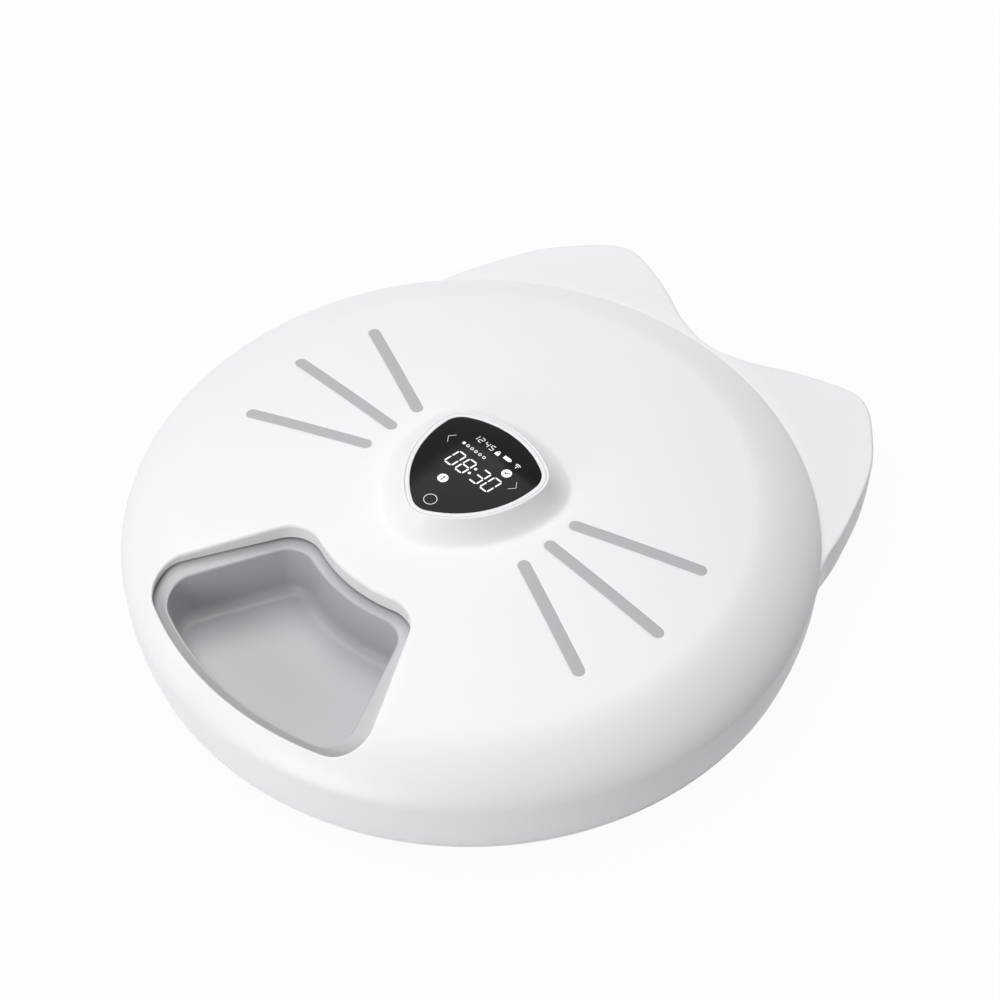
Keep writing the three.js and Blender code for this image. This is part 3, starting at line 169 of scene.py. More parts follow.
def add_area_lamp(name, lamp_place, size, power):
    """A square lamp turned to the feeder's middle; its place is aside, up and behind as the camera sees it."""
    lamp = bpy.data.lights.new(name, "AREA")
    lamp.size = size
    lamp.energy = power
    aside, height, behind = lamp_place
    flat_back = Vector((back.x, back.y, 0)).normalized()
    spot = right * aside - flat_back * behind + Vector((0, axis_y, height))
    holder = bpy.data.objects.new(name, lamp)
    holder.location = spot
    holder.rotation_euler = (spot - Vector((0, axis_y, 0))).to_track_quat("Z", "Y").to_euler()
    bpy.context.scene.collection.objects.link(holder)


add_area_lamp("key_lamp", key_place, key_size, key_power)
add_area_lamp("front_lamp", front_place, front_size, front_power)
print("lamps of", key_power, "and", front_power, "watts")

# %% [markdown]
# The floor looks white like the world, and still takes a little of the feeder's shadow: a matt grey is mixed
# in by the share of shadow that a product photograph keeps.

# %% Floor
floor_half_size, floor_grey, shadow_share = 4, "D8D8D8", 0.05

floor_mesh = bpy.data.meshes.new("floor")
floor_corners = [(x * floor_half_size, y * floor_half_size, 0) for x, y in ((-1, -1), (1, -1), (1, 1), (-1, 1))]
floor_mesh.from_pydata(floor_corners, [], [(0, 1, 2, 3)])
floor = bpy.data.objects.new("floor", floor_mesh)
bpy.context.scene.collection.objects.link(floor)
floor_material, tree = material_tree("pale studio floor")
shade = add_node(tree, "ShaderNodeMath", {0: seen_directly(tree), 1: 1 - shadow_share}, operation="MULTIPLY")
matt = add_node(tree, "ShaderNodeBsdfDiffuse", {"Color": linear(floor_grey)})
glow = add_node(tree, "ShaderNodeEmission", {"Color": linear("FFFFFF"), "Strength": 1.0})
finish_tree(tree, add_node(tree, "ShaderNodeMixShader",
                           {0: shade.outputs[0], 1: matt.outputs[0], 2: glow.outputs[0]}))
floor_mesh.materials.append(floor_material)
print("floor", 2 * floor_half_size, "m wide")

# %% [markdown]
# Moulded plastic is the finish of nearly the whole feeder. A mould is never mirror smooth: its steel is
# sparked or blasted, which breaks a highlight into a soft glow. One function makes such a plastic from its
# colour, gloss and grain. The grain is drawn a little coarser than the real tenth of a millimetre, so that
# it still shows, and a wide, faint cloud in the gloss stands for the flow of the plastic in the mould.

# %% Moulded plastics
mix_from, mix_to, mix_colour = 6, 7, 2  # a mix node's colour inputs and output; it has some for numbers too


def moulded_plastic(name, colour, roughness, grain_mm, grain_depth_mm, ior=1.53, cloud_mm=40,
                    cloud_share=0.06):
    material, tree = material_tree(name)
    where = add_node(tree, "ShaderNodeTexCoord").outputs["Object"]
    grain = add_node(tree, "ShaderNodeTexNoise", {"Vector": where, "Scale": 1 / (grain_mm * mm), "Detail": 2.0})
    cloud = add_node(tree, "ShaderNodeTexNoise", {"Vector": where, "Scale": 1 / (cloud_mm * mm), "Detail": 3.0})
    spread = roughness * cloud_share
    gloss = add_node(tree, "ShaderNodeMapRange", {
        "Value": cloud.outputs["Fac"], "From Min": 0.3, "From Max": 0.7,
        "To Min": roughness - spread, "To Max": roughness + spread,
    })
    darker = tuple(c * (1 - cloud_share / 3) for c in linear(colour)[:3])
    tint = add_node(tree, "ShaderNodeMix", {
        0: cloud.outputs["Fac"], mix_from: (*darker, 1), mix_to: linear(colour),
    }, data_type="RGBA")
    bump = add_node(tree, "ShaderNodeBump", {
        "Height": grain.outputs["Fac"], "Distance": grain_depth_mm * mm, "Strength": 0.5,
    })
    finish_tree(tree, add_node(tree, "ShaderNodeBsdfPrincipled", {
        "Base Color": tint.outputs[mix_colour], "Roughness": gloss.outputs[0], "IOR": ior,
        "Normal": bump.outputs[0],
    }))
    return material


white_abs = moulded_plastic("satin moulded white ABS", "F3F4F6", 0.4, grain_mm=0.5, grain_depth_mm=0.004)
grey_inlay = moulded_plastic("matt moulded grey ABS", "B5B7BB", 0.55, grain_mm=0.4, grain_depth_mm=0.004)
grey_tray = moulded_plastic("smooth moulded grey polypropylene", "BDBEC1", 0.36, grain_mm=0.8,
                            grain_depth_mm=0.003, ior=1.49)
black_abs = moulded_plastic("textured black ABS", "232427", 0.5, grain_mm=0.35, grain_depth_mm=0.01)
natural_acetal = moulded_plastic("natural white acetal", "EBE7DA", 0.35, grain_mm=0.6, grain_depth_mm=0.002,
                                 ior=1.48)
milky_diffuser = moulded_plastic("milky moulded polycarbonate", "F4F4F0", 0.55, grain_mm=0.4,
                                 grain_depth_mm=0.003, ior=1.58)
cell_sleeve = moulded_plastic("plain shrink sleeve", "5D7F9C", 0.3, grain_mm=1.5, grain_depth_mm=0.004)
print("plastics:", [plastic.name for plastic in (white_abs, grey_inlay, grey_tray, black_abs, natural_acetal,
                                                 milky_diffuser, cell_sleeve)])

# %% [markdown]
# The display's window is black acrylic, printed from behind and polished in front, so it has a sharp, dark
# reflection. Fingertips leave faint smudges, which make its gloss a little uneven.

# %% Polished acrylic
def polished_black(name, colour, roughness, smudge_mm):
    material, tree = material_tree(name)
    where = add_node(tree, "ShaderNodeTexCoord").outputs["Object"]
    smudge = add_node(tree, "ShaderNodeTexNoise",
                      {"Vector": where, "Scale": 1 / (smudge_mm * mm), "Detail": 4.0})
    gloss = add_node(tree, "ShaderNodeMapRange", {
        "Value": smudge.outputs["Fac"], "From Min": 0.35, "From Max": 0.75,
        "To Min": roughness, "To Max": roughness * 1.5,
    })
    finish_tree(tree, add_node(tree, "ShaderNodeBsdfPrincipled", {
        "Base Color": linear(colour), "Roughness": gloss.outputs[0], "IOR": 1.49, "Specular IOR Level": 0.1,
    }))
    return material


display_acrylic = polished_black("polished black acrylic", "111112", 0.12, smudge_mm=9)
print("display:", display_acrylic.name)

# %% [markdown]
# Rubber is rough and a little mottled, because dust and talc stay in its pores. The soft PVC round the leads
# looks much the same, with wider marks. The pores are drawn coarser than they are, so that they show.

# %% Rubber and soft PVC
def paler(colour, times, plus):
    """A linear colour made paler, as dust or a thin lacquer makes it."""
    return (*[min(1, c * times + plus) for c in linear(colour)[:3]], 1)


def matt_rubber(name, colour, pore_mm, pore_depth_mm=0.02):
    material, tree = material_tree(name)
    where = add_node(tree, "ShaderNodeTexCoord").outputs["Object"]
    pores = add_node(tree, "ShaderNodeTexNoise", {"Vector": where, "Scale": 1 / (pore_mm * mm), "Detail": 5.0})
    dust = add_node(tree, "ShaderNodeMapRange", {
        "Value": pores.outputs["Fac"], "From Min": 0.35, "From Max": 0.8, "To Min": 0.72, "To Max": 0.95,
    })
    tint = add_node(tree, "ShaderNodeMix", {
        0: pores.outputs["Fac"], mix_from: linear(colour), mix_to: paler(colour, 1.5, 0.01),
    }, data_type="RGBA")
    bump = add_node(tree, "ShaderNodeBump", {"Height": pores.outputs["Fac"], "Distance": pore_depth_mm * mm})
    finish_tree(tree, add_node(tree, "ShaderNodeBsdfPrincipled", {
        "Base Color": tint.outputs[mix_colour], "Roughness": dust.outputs[0], "IOR": 1.52,
        "Normal": bump.outputs[0],
    }))
    return material


foot_rubber = matt_rubber("matt moulded rubber", "3C3F42", pore_mm=0.6)
lead_pvc = matt_rubber("soft black PVC", "2A2B2D", pore_mm=1.2)
print("rubber:", foot_rubber.name, "and", lead_pvc.name)

# %% [markdown]
# Steel is a metal: its colour is its reflection, and fine streaks left by rolling or drawing make it rough
# along one way. Zinc, nickel and bare steel differ in colour and gloss. The streaks are drawn coarser than
# they are, so that they show.

# %% Plated and drawn steel
def streaked_steel(name, colour, roughness, streak_mm, stretch=30, streak_depth_mm=0.003):
    material, tree = material_tree(name)
    where = add_node(tree, "ShaderNodeTexCoord").outputs["Object"]
    across = 1 / (streak_mm * mm)
    stretched = add_node(tree, "ShaderNodeMapping", {
        "Vector": where, "Scale": (across, across, across / stretch),
    })
    streak = add_node(tree, "ShaderNodeTexNoise", {"Vector": stretched.outputs[0], "Scale": 1.0, "Detail": 3.0})
    gloss = add_node(tree, "ShaderNodeMapRange", {
        "Value": streak.outputs["Fac"], "From Min": 0.3, "From Max": 0.7,
        "To Min": roughness * 0.8, "To Max": roughness * 1.25,
    })
    bump = add_node(tree, "ShaderNodeBump", {
        "Height": streak.outputs["Fac"], "Distance": streak_depth_mm * mm,
    })
    finish_tree(tree, add_node(tree, "ShaderNodeBsdfPrincipled", {
        "Base Color": linear(colour), "Metallic": 1.0, "Roughness": gloss.outputs[0], "Normal": bump.outputs[0],
    }))
    return material


zinc_steel = streaked_steel("zinc plated steel", "B8BABC", 0.34, streak_mm=0.5)
spring_steel = streaked_steel("nickel plated spring steel", "C9CACB", 0.26, streak_mm=0.4)
drawn_steel = streaked_steel("drawn steel can", "A9ADB0", 0.36, streak_mm=0.8)
magnet_nickel = streaked_steel("nickel plated magnet", "8F9396", 0.22, streak_mm=0.7)
print("metals:", [metal.name for metal in (zinc_steel, spring_steel, drawn_steel, magnet_nickel)])

# %% [markdown]
# A circuit board is a green lacquer over glass weave, which shows through as a faint pattern of cells. It is
# drawn coarser than it is, so that it shows. With it all finishes are there. Each slot of the record gets
# one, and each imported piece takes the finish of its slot, so the inner pieces are dressed too: they show
# where the lid or the battery door is off.

# %% Circuit board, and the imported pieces
def lacquered_board(name, colour, weave_mm, weave_depth_mm=0.01):
    material, tree = material_tree(name)
    where = add_node(tree, "ShaderNodeTexCoord").outputs["Object"]
    weave = add_node(tree, "ShaderNodeTexVoronoi", {"Vector": where, "Scale": 1 / (weave_mm * mm)})
    tint = add_node(tree, "ShaderNodeMix", {
        0: weave.outputs["Distance"], mix_from: linear(colour), mix_to: paler(colour, 1.4, 0.004),
    }, data_type="RGBA")
    bump = add_node(tree, "ShaderNodeBump", {
        "Height": weave.outputs["Distance"], "Distance": weave_depth_mm * mm,
    })
    finish_tree(tree, add_node(tree, "ShaderNodeBsdfPrincipled", {
        "Base Color": tint.outputs[mix_colour], "Roughness": 0.42, "IOR": 1.5, "Normal": bump.outputs[0],
    }))
    return material


board_lacquer = lacquered_board("green solder lacquer", "1F5A3A", weave_mm=0.7)

slot_finish = {
    "white_shell": white_abs, "whisker_grey": grey_inlay, "tray_grey": grey_tray,
    "display_black": display_acrylic, "rubber": foot_rubber, "nylon": natural_acetal,
    "screw_steel": zinc_steel, "spring_steel": spring_steel, "motor_steel": drawn_steel,
    "circuit_board": board_lacquer, "black_plastic": black_abs, "cell_wrap": cell_sleeve,
    "diffuser": milky_diffuser, "lead_sleeve": lead_pvc, "magnet": magnet_nickel,
}
slot_of = {row["node"]: row["material_slot"] for row in frame["record"]["subparts"]}
for name, node in frame["nodes"].items():
    node.data.materials.clear()
    node.data.materials.append(slot_finish[slot_of[name]])
print("CAD nodes dressed:", len(slot_of))

# %% [markdown]
# The outlines are drawn flat first, in millimetres from the turning axis, as rings of points that run
# anticlockwise. An outline that can grow by a distance, with the same number of points each time, gives the
# rings of a rounded edge for nothing: each ring is the outline let out a little and set a little lower.

# %% Outlines in plan
def polar(radius, degrees):
    turn = math.radians(degrees)
    return (radius * math.cos(turn), radius * math.sin(turn))


def arc(centre, radius, start, end, steps):
    """Points of an arc from one angle to another, both ends included."""
    return [
        (centre[0] + x, centre[1] + y)
        for x, y in (polar(radius, start + (end - start) * i / steps) for i in range(steps + 1))
    ]


def disc(centre, radius, steps=20):
    return arc(centre, radius, 0, 360, steps)[:-1]


def rectangle(x0, y0, x1, y1):
    return [(x0, y0), (x1, y0), (x1, y1), (x0, y1)]


def rounded_sector(inner, outer, half_angle, corner, grow=0, middle=-90, round_steps=14, side_steps=34):
    """A ring sector with rounded corners, let out by a distance. It serves the window and the compartments."""
    outer_centre, inner_centre = outer - corner, inner + corner
    outer_turn = math.degrees(math.asin(corner / outer_centre))
    inner_turn = math.degrees(math.asin(corner / inner_centre))
    low, high = middle - half_angle, middle + half_angle
    radius = corner + grow
    outer_high, inner_high = high - outer_turn, high - inner_turn
    outer_low, inner_low = low + outer_turn, low + inner_turn
    return [
        *arc((0, 0), outer + grow, outer_low, outer_high, side_steps),
        *arc(polar(outer_centre, outer_high), radius, outer_high, high + 90, round_steps)[1:],
        *arc(polar(inner_centre, inner_high), radius, high + 90, inner_high + 180, round_steps),
        *arc((0, 0), inner - grow, inner_high, inner_low, side_steps // 2)[1:],
        *arc(polar(inner_centre, inner_low), radius, inner_low - 180, low - 90, round_steps)[1:],
        *arc(polar(outer_centre, outer_low), radius, low - 90, outer_low, round_steps)[:-1],
    ]


print("window ring", len(rounded_sector(80, 150, 25, 15)), "points")

# %% [markdown]
# The display's outline is a rounded triangle like a cat's nose, point down. Its sides bow out a little.
# Each side is an arc that touches the arcs of two corners, so the outline has no kinks, and it can grow too.

# %% The nose's outline
nose_half_spread, nose_rear_y, nose_tip_y = 18.6, 12.2, -24.6
nose_rear_corner, nose_tip_corner, nose_side_bow = 11, 9.2, 49


def nose_outline(grow=0, corner_steps=14, side_steps=20):
    """The display's rounded triangle: three corner arcs and three bowed sides, let out by a distance."""
    corners = [
        (Vector((nose_half_spread, nose_rear_y)), nose_rear_corner + grow),
        (Vector((-nose_half_spread, nose_rear_y)), nose_rear_corner + grow),
        (Vector((0, nose_tip_y)), nose_tip_corner + grow),
    ]
    side_radius = nose_side_bow + grow
    middles = []
    for i, (start, start_radius) in enumerate(corners):
        end, end_radius = corners[(i + 1) % 3]
        reach, other_reach = side_radius - start_radius, side_radius - end_radius
        span = (end - start).length
        along = (reach ** 2 - other_reach ** 2 + span ** 2) / (2 * span)
        aside = math.sqrt(reach ** 2 - along ** 2)
        towards = (end - start) / span
        middles.append(start + towards * along + Vector((-towards.y, towards.x)) * aside)

    def degrees(a, b):
        return math.degrees(math.atan2(b.y - a.y, b.x - a.x))

    points = []
    for i, (corner, radius) in enumerate(corners):
        after = middles[i]
        start = degrees(middles[i - 1], corner)
        middle = start + (degrees(after, corner) - start) % 360
        end = middle + (degrees(after, corners[(i + 1) % 3][0]) - middle) % 360
        points += arc(corner, radius, start, middle, corner_steps)
        points += arc(after, side_radius, middle, end, side_steps)[1:-1]
    return points


print("nose ring", len(nose_outline()), "points")

# %% [markdown]
# A whisker is a straight bar with round ends. Three stand on each side, fanned out, with a longer one in the
# middle. One function draws them all, mirrored for the left side.

# %% The whiskers' outline
whisker_width, whisker_start_x, whisker_middle_y = 5.9, 50.3, -1.5
whisker_spacing, whisker_fan = 15.6, 22.5
middle_whisker_length, outer_whisker_length = 71.8, 66.7


def whisker_outline(side, row, grow=0, round_steps=16, side_steps=24):
    """A straight bar with round ends. side is 1 or -1, and row is 1 at the rear, 0 or -1."""
    length = outer_whisker_length if row else middle_whisker_length
    half = whisker_width / 2
    far, near = length - half, half
    straight = [near + (far - near) * i / side_steps for i in range(1, side_steps)]
    points = arc((far, 0), half + grow, -90, 90, round_steps)
    points += [(x, half + grow) for x in reversed(straight)]
    points += arc((near, 0), half + grow, 90, 270, round_steps)
    points += [(x, -half - grow) for x in straight]
    turn = math.radians(row * whisker_fan)
    placed = [
        (
            whisker_start_x + x * math.cos(turn) - y * math.sin(turn),
            whisker_middle_y + row * whisker_spacing + x * math.sin(turn) + y * math.cos(turn),
        )
        for x, y in points
    ]
    return placed if side > 0 else [(-x, y) for x, y in reversed(placed)]


print("whisker ring", len(whisker_outline(1, 0)), "points")

# %% [markdown]
# Flat and gently domed areas with holes, such as the dome round its window, are meshed in plan by a Delaunay
# triangulation, which keeps the rings as edges, and then lifted to their height. Loose points between the
# rings keep the triangles small and even. Those too near a hole are left out.

# %% Triangles in plan
def at_height(ring, height):
    """A flat ring set at one height, or at a height worked out for each point."""
    return [(x, y, height(x, y) if callable(height) else height) for x, y in ring]


def inside(points, ring):
    """Which of many points lie inside a ring, by counting the edges that a line to the side crosses."""
    x, y = points[:, 0], points[:, 1]
    found = np.zeros(len(points), bool)
    for (x0, y0), (x1, y1) in zip(ring, ring[1:] + ring[:1]):
        if y0 != y1:
            found ^= ((y0 > y) != (y1 > y)) & (x < (x1 - x0) * (y - y0) / (y1 - y0) + x0)
    return found


def plan_triangles(border, holes, near_holes, loose):
    """Triangles in plan over the area inside a border, with holes, as triples of points."""
    loose = np.array(loose)
    for ring in near_holes:
        loose = loose[~inside(loose, ring)]
    given, areas = [], []
    for ring in [border, *holes]:
        loop = range(len(given), len(given) + len(ring))
        turning = sum(x0 * y1 - x1 * y0 for (x0, y0), (x1, y1) in zip(ring, ring[1:] + ring[:1]))
        areas.append(list(loop if turning > 0 else reversed(loop)))
        given += ring
    given += [tuple(p) for p in loose]
    inner_only, near_enough = 1, 1e-6
    made, _, triangles, sources, _, covers = geometry.delaunay_2d_cdt(
        [Vector(p) for p in given], [], areas, inner_only, near_enough)
    exact = [given[source[0]] if source else tuple(point) for point, source in zip(made, sources)]
    return [[exact[i] for i in triangle] for triangle, cover in zip(triangles, covers) if list(cover) == [0]]


def polar_grid(radii, arc_length):
    """Points on rings round the axis, about one arc length apart."""
    points = []
    for i, radius in enumerate(radii):
        count = max(6, round(2 * math.pi * radius / arc_length))
        points += [polar(radius, 360 * (k + 0.5 * (i % 2)) / count) for k in range(count)]
    return points


print("a 10 mm disc in plan:", len(plan_triangles(disc((0, 0), 10), [], [], [])), "triangles")

# %% [markdown]
# A mesh is gathered face by face: equal corners become one vertex, which closes the seams between one part
# of the surface and the next. Rings with equally many points are joined by a strip of quads. Then the faces
# are turned outwards, and a word is printed if an edge is open or shared by more than two faces. Shading is
# smooth but for edges that fold sharply, so that curves look round and corners stay crisp.

# %% Gathering a mesh
sharp_degrees = 32


def outwards(mesh, sheet=False):
    """Turn the faces of a closed mesh outwards, or those of an open sheet up."""
    shape = bmesh.new()
    shape.from_mesh(mesh)
    bmesh.ops.recalc_face_normals(shape, faces=shape.faces)
    if sheet:
        outside = sum(f.normal.z * f.calc_area() for f in shape.faces)
    else:
        outside = shape.calc_volume(signed=True)
    if outside < 0:
        bmesh.ops.reverse_faces(shape, faces=shape.faces)
    open_edges = 0 if sheet else sum(not e.is_manifold for e in shape.edges)
    shape.to_mesh(mesh)
    shape.free()
    if open_edges:
        print("open or shared edges in", mesh.name, open_edges)


def smoothed(mesh, degrees=sharp_degrees):
    mesh.shade_smooth()
    mesh.set_sharp_from_angle(angle=math.radians(degrees))


def finished(mesh, name, finish):
    """The object of a mesh, with its finish, smooth but for its sharp edges."""
    mesh.name = name
    mesh.materials.clear()
    mesh.materials.append(finish)
    piece = bpy.data.objects.new(name, mesh)
    bpy.context.scene.collection.objects.link(piece)
    smoothed(mesh)
    return piece


class Surface:
    """Points in millimetres and faces between them; equal points become one."""

    def __init__(self):
        self.points, self.faces, self.known = [], [], {}

    def point(self, x, y, z):
        key = (round(x, 4), round(y, 4), round(z, 4))
        if key not in self.known:
            self.known[key] = len(self.points)
            self.points.append((x, y, z))
        return self.known[key]

    def face(self, *corners):
        indices = [self.point(*c) for c in corners]
        loop = [a for a, b in zip(indices, indices[1:] + indices[:1]) if a != b]
        if len(set(loop)) > 2:
            self.faces.append(loop)

    def area(self, border, height, holes=(), near_holes=(), loose=()):
        """Triangles over the plan inside a border, lifted to a height."""
        for triangle in plan_triangles(border, holes, near_holes, loose):
            self.face(*at_height(triangle, height))

    def strip(self, first, second, closed=True):
        """Quads between two rings of points."""
        count = len(first)
        for i in range(count if closed else count - 1):
            j = (i + 1) % count
            self.face(first[i], first[j], second[j], second[i])

    def rings(self, rings, closed=True):
        for first, second in zip(rings, rings[1:]):
            self.strip(first, second, closed)

    def mesh(self, name, finish, sheet=False):
        """An object at the origin, its place in its mesh, with its faces outwards, or up if it is a sheet."""
        mesh = bpy.data.meshes.new(name)
        mesh.from_pydata([(x * mm, y * mm + axis_y, z * mm) for x, y, z in self.points], [], self.faces)
        outwards(mesh, sheet)
        return finished(mesh, name, finish)


print("edges stay sharp where faces fold by more than", sharp_degrees, "degrees")

# %% [markdown]
# The lid's outside is a very flat dome that rolls over a broad shoulder into a straight wall. Two formulas
# give its height over the plan: the dome, and from the shoulder's start outwards the dome less a curve that
# falls ever faster and ends upright at the edge. Every ring cut in the lid takes its height from them, so
# all edges lie on one smooth surface.

# %% The lid's height over its plan
body_radius, body_foot_radius, body_belly_height, foot_height = 166, 162.8, 24, 2
lid_centre_height, dome_drop = 59.7, 6.3
shoulder_radius, shoulder_width = 133.8, 32.2
shoulder_fall, shoulder_power = 18.4, 1.64
lid_wall = 2.4
slope_step, last_skin_gap, skin_points = 0.05, 0.3, 400


def dome_height(radius):
    return lid_centre_height - dome_drop * (radius / shoulder_radius) ** 2


def lid_height(x, y):
    radius = math.hypot(x, y)
    if radius <= shoulder_radius:
        return dome_height(radius)
    share = min(1, (radius - shoulder_radius) / shoulder_width)
    round_off = (1 - share ** shoulder_power) ** (1 / shoulder_power)
    return dome_height(radius) - shoulder_fall * (1 - round_off)


def wall_radius(height):
    """The body's wall draws in a little towards the floor."""
    below = max(0, body_belly_height - height) / (body_belly_height - foot_height)
    return body_radius - (body_radius - body_foot_radius) * below ** 2


def skin_point(radius, depth):
    """A point under the lid's outside: radius and height, one depth in along the normal."""
    slope = (lid_height(radius + slope_step, 0) - lid_height(radius - slope_step, 0)) / (2 * slope_step)
    length = math.hypot(1, slope)
    return radius + slope / length * depth, lid_height(radius, 0) - depth / length


skin_radii = np.linspace(0, shoulder_radius + shoulder_width - last_skin_gap, skin_points)
under_radii, under_heights = np.array([skin_point(radius, lid_wall) for radius in skin_radii]).T


def under_lid(x, y):
    """The lid's inside surface over the plan."""
    return float(np.interp(math.hypot(x, y), under_radii, under_heights))


print("dome", lid_centre_height, "shoulder starts at", round(dome_height(shoulder_radius), 1),
      "lid ends at", round(lid_height(body_radius, 0), 1), "mm")

# %% [markdown]
# The tray's rim lies just under the lid and follows it down towards the edge. Its surface is worked out
# here, because the lip of the window hangs down to it with a thin gap.

# %% The tray's height over its plan
tray_inner, tray_outer, tray_rim_height, tray_rim_gap = 69, 157.3, 47.5, 3.0
blend_height = 3


def tray_top(x, y):
    """The lower of the flat rim and the lid's inside less a gap, with the change between them rounded."""
    under = under_lid(x, y) - tray_rim_gap
    mix = max(0, blend_height - abs(tray_rim_height - under)) / blend_height
    return min(tray_rim_height, under) - mix ** 2 * blend_height / 4


print("tray rim", round(tray_top(tray_inner, 0), 2), "mm inside,", round(tray_top(tray_outer, 0), 2),
      "mm at its edge")

# %% [markdown]
# The lid is one moulded shell, gathered in four steps. The window comes first. Its edge rolls over from the
# dome into a lip that hangs down to the tray and leaves only a thin gap. The lip is a stack of rings of one
# outline, each let out or set down a little from the last.

# %% The lid's window
window_inner, window_outer, window_half_angle, window_corner = 76.6, 156.2, 28.5, 16.5
window_fillet, window_fillet_steps = 1.6, 9
lip_wall, lip_tray_gap, lip_draft = 2, 1.0, 0.5
columns = 270
column_angles = [360 * i / columns for i in range(columns)]


def circle(radius):
    return [polar(radius, angle) for angle in column_angles]


def quarter_round(steps):
    """A rounded edge of size 1 in steps: how far back and how far down, from the flat to the upright."""
    turns = [math.pi / 2 * i / steps for i in range(steps + 1)]
    return [(1 - math.sin(turn), 1 - math.cos(turn)) for turn in turns]


def rounded_edge(outline, size, steps, surface):
    """Rings that roll from a surface down into a wall: the outline grown by less and less, set ever lower."""
    return [at_height(outline(size * away), lambda x, y: surface(x, y) - size * down)
            for away, down in quarter_round(steps)]


def lip_bottom(x, y):
    return tray_top(x, y) + lip_tray_gap


def window(grow):
    return rounded_sector(window_inner, window_outer, window_half_angle, window_corner, grow)


def window_top(grow):
    """The window's edge at the dome: the lip's draft makes it a little smaller than the lip's foot."""
    return window(grow - lip_draft)


lid = Surface()
lid.rings([
    *rounded_edge(window_top, window_fillet, window_fillet_steps, lid_height),
    at_height(window(0), lip_bottom), at_height(window(lip_wall), lip_bottom),
    at_height(window(lip_wall), under_lid),
])
print("window faces", len(lid.faces))

# %% [markdown]
# Round the display the lid rises in a neck, like the rim of a shallow crater. Its flank is steep at the top
# and runs out softly onto the dome, and the display's housing stands in it with a hair's breadth of play.
# The rings go up the flank, over the edge and down inside, one wall thickness further in.

# %% The lid's neck
display_rise, housing_rim = 9, 2.2
neck_rim, neck_gap, neck_edge, neck_round = 3.6, 0.16, 0.12, 0.6
neck_flare, neck_power, neck_steps, neck_crowding = 10.5, 1.6, 16, 1.5
neck_bend, neck_bend_steps = math.radians(52), 5  # how far its top edge rolls over before the flank begins
edge_cut = 0.3  # the middle of a finely broken edge, as a share of its size
display_top = lid_centre_height + display_rise
neck_top = display_top - neck_round * (1 - math.cos(neck_bend))
neck_hole, neck_foot = housing_rim + neck_gap, neck_rim + neck_flare
neck_inner_foot = neck_foot - lid_wall


def neck_ring(spread, wall=0):
    """The neck's flank leaves its top edge steeply and runs out onto the dome; a wall gives its inside."""
    share = (1 - spread / neck_flare) ** neck_power
    return at_height(nose_outline(neck_rim + spread - wall),
                     lambda x, y: lid_height(x, y) * (1 - share) + neck_top * share - wall)


neck_spreads = [neck_flare * (i / neck_steps) ** neck_crowding for i in range(neck_steps + 1)]
neck_rings = [neck_ring(spread) for spread in reversed(neck_spreads)]
for i in range(neck_bend_steps + 1):
    bend = neck_bend * (1 - i / neck_bend_steps)
    neck_rings.append(at_height(
        nose_outline(neck_rim - neck_round * (math.sin(neck_bend) - math.sin(bend))),
        display_top - neck_round * (1 - math.cos(bend)),
    ))
for inwards, down in ((1, 0), (edge_cut, edge_cut), (0, 1)):
    neck_rings.append(at_height(nose_outline(neck_hole + neck_edge * inwards), display_top - neck_edge * down))
first_inside = neck_hole + lid_wall - neck_rim
neck_rings.append(neck_ring(first_inside, lid_wall))
neck_rings += [neck_ring(spread, lid_wall) for spread in neck_spreads[:-1] if spread > first_inside]
neck_rings.append(at_height(nose_outline(neck_inner_foot), under_lid))
lid.rings(neck_rings)
print("neck rings", len(neck_rings))

# %% [markdown]
# Six shallow grooves take the whiskers. With them, the plan of the lid's top is known: a disc with a window,
# the foot of the neck and six grooves. Each opening says how far loose points of the mesh keep off it, and
# at which distances rings of guide points follow it, so that the triangles round it are even.

# %% The lid's grooves, top and underside
groove_depth, groove_gap, groove_edge, groove_edge_steps = 1.2, 0.03, 0.08, 3
lid_plan_edge, inner_plan_edge = 162.4, 159.8
dome_start, dome_step, dome_arc, shoulder_step, shoulder_clear = 4, 4.5, 5, 1.3, 0.8
under_start, under_step, under_arc, under_clear = 6, 3.5, 7, 1
groove_insets = (1, 2)
whisker_rows = [(side, row) for side in (1, -1) for row in (1, 0, -1)]


def groove_floor(x, y):
    return lid_height(x, y) - groove_depth


openings = [
    (lambda grow: window_top(window_fillet + grow), 0.9, (1.2, 2.8, 5)),
    (lambda grow: nose_outline(neck_foot + grow), 1.2, (1.5, 3.5)),
]
for side, row in whisker_rows:
    def groove(grow, side=side, row=row):
        return whisker_outline(side, row, groove_gap + grow)

    edge = rounded_edge(groove, groove_edge, groove_edge_steps, lid_height)
    lid.rings([*edge, at_height(groove(0), groove_floor)])
    lid.area(groove(0), groove_floor, loose=[p for inset in groove_insets for p in groove(-inset)])
    openings.append((lambda grow, groove=groove: groove(groove_edge + grow), 0.8, (1.2, 3)))

loose = polar_grid(np.arange(dome_start, shoulder_radius, dome_step), dome_arc)
for radius in np.arange(shoulder_radius, lid_plan_edge - shoulder_clear, shoulder_step):
    loose += circle(radius)
loose += [p for outline, _, guides in openings for grow in guides for p in outline(grow)]
lid.area(circle(lid_plan_edge), lid_height, [outline(0) for outline, _, _ in openings],
         [outline(clear) for outline, clear, _ in openings], loose)
lid.area(circle(inner_plan_edge), under_lid, [window(lip_wall), nose_outline(neck_inner_foot)],
         [window(lip_wall + under_clear), nose_outline(neck_inner_foot + under_clear)],
         polar_grid(np.arange(under_start, inner_plan_edge - under_clear, under_step), under_arc))
print("lid faces in plan", len(lid.faces))

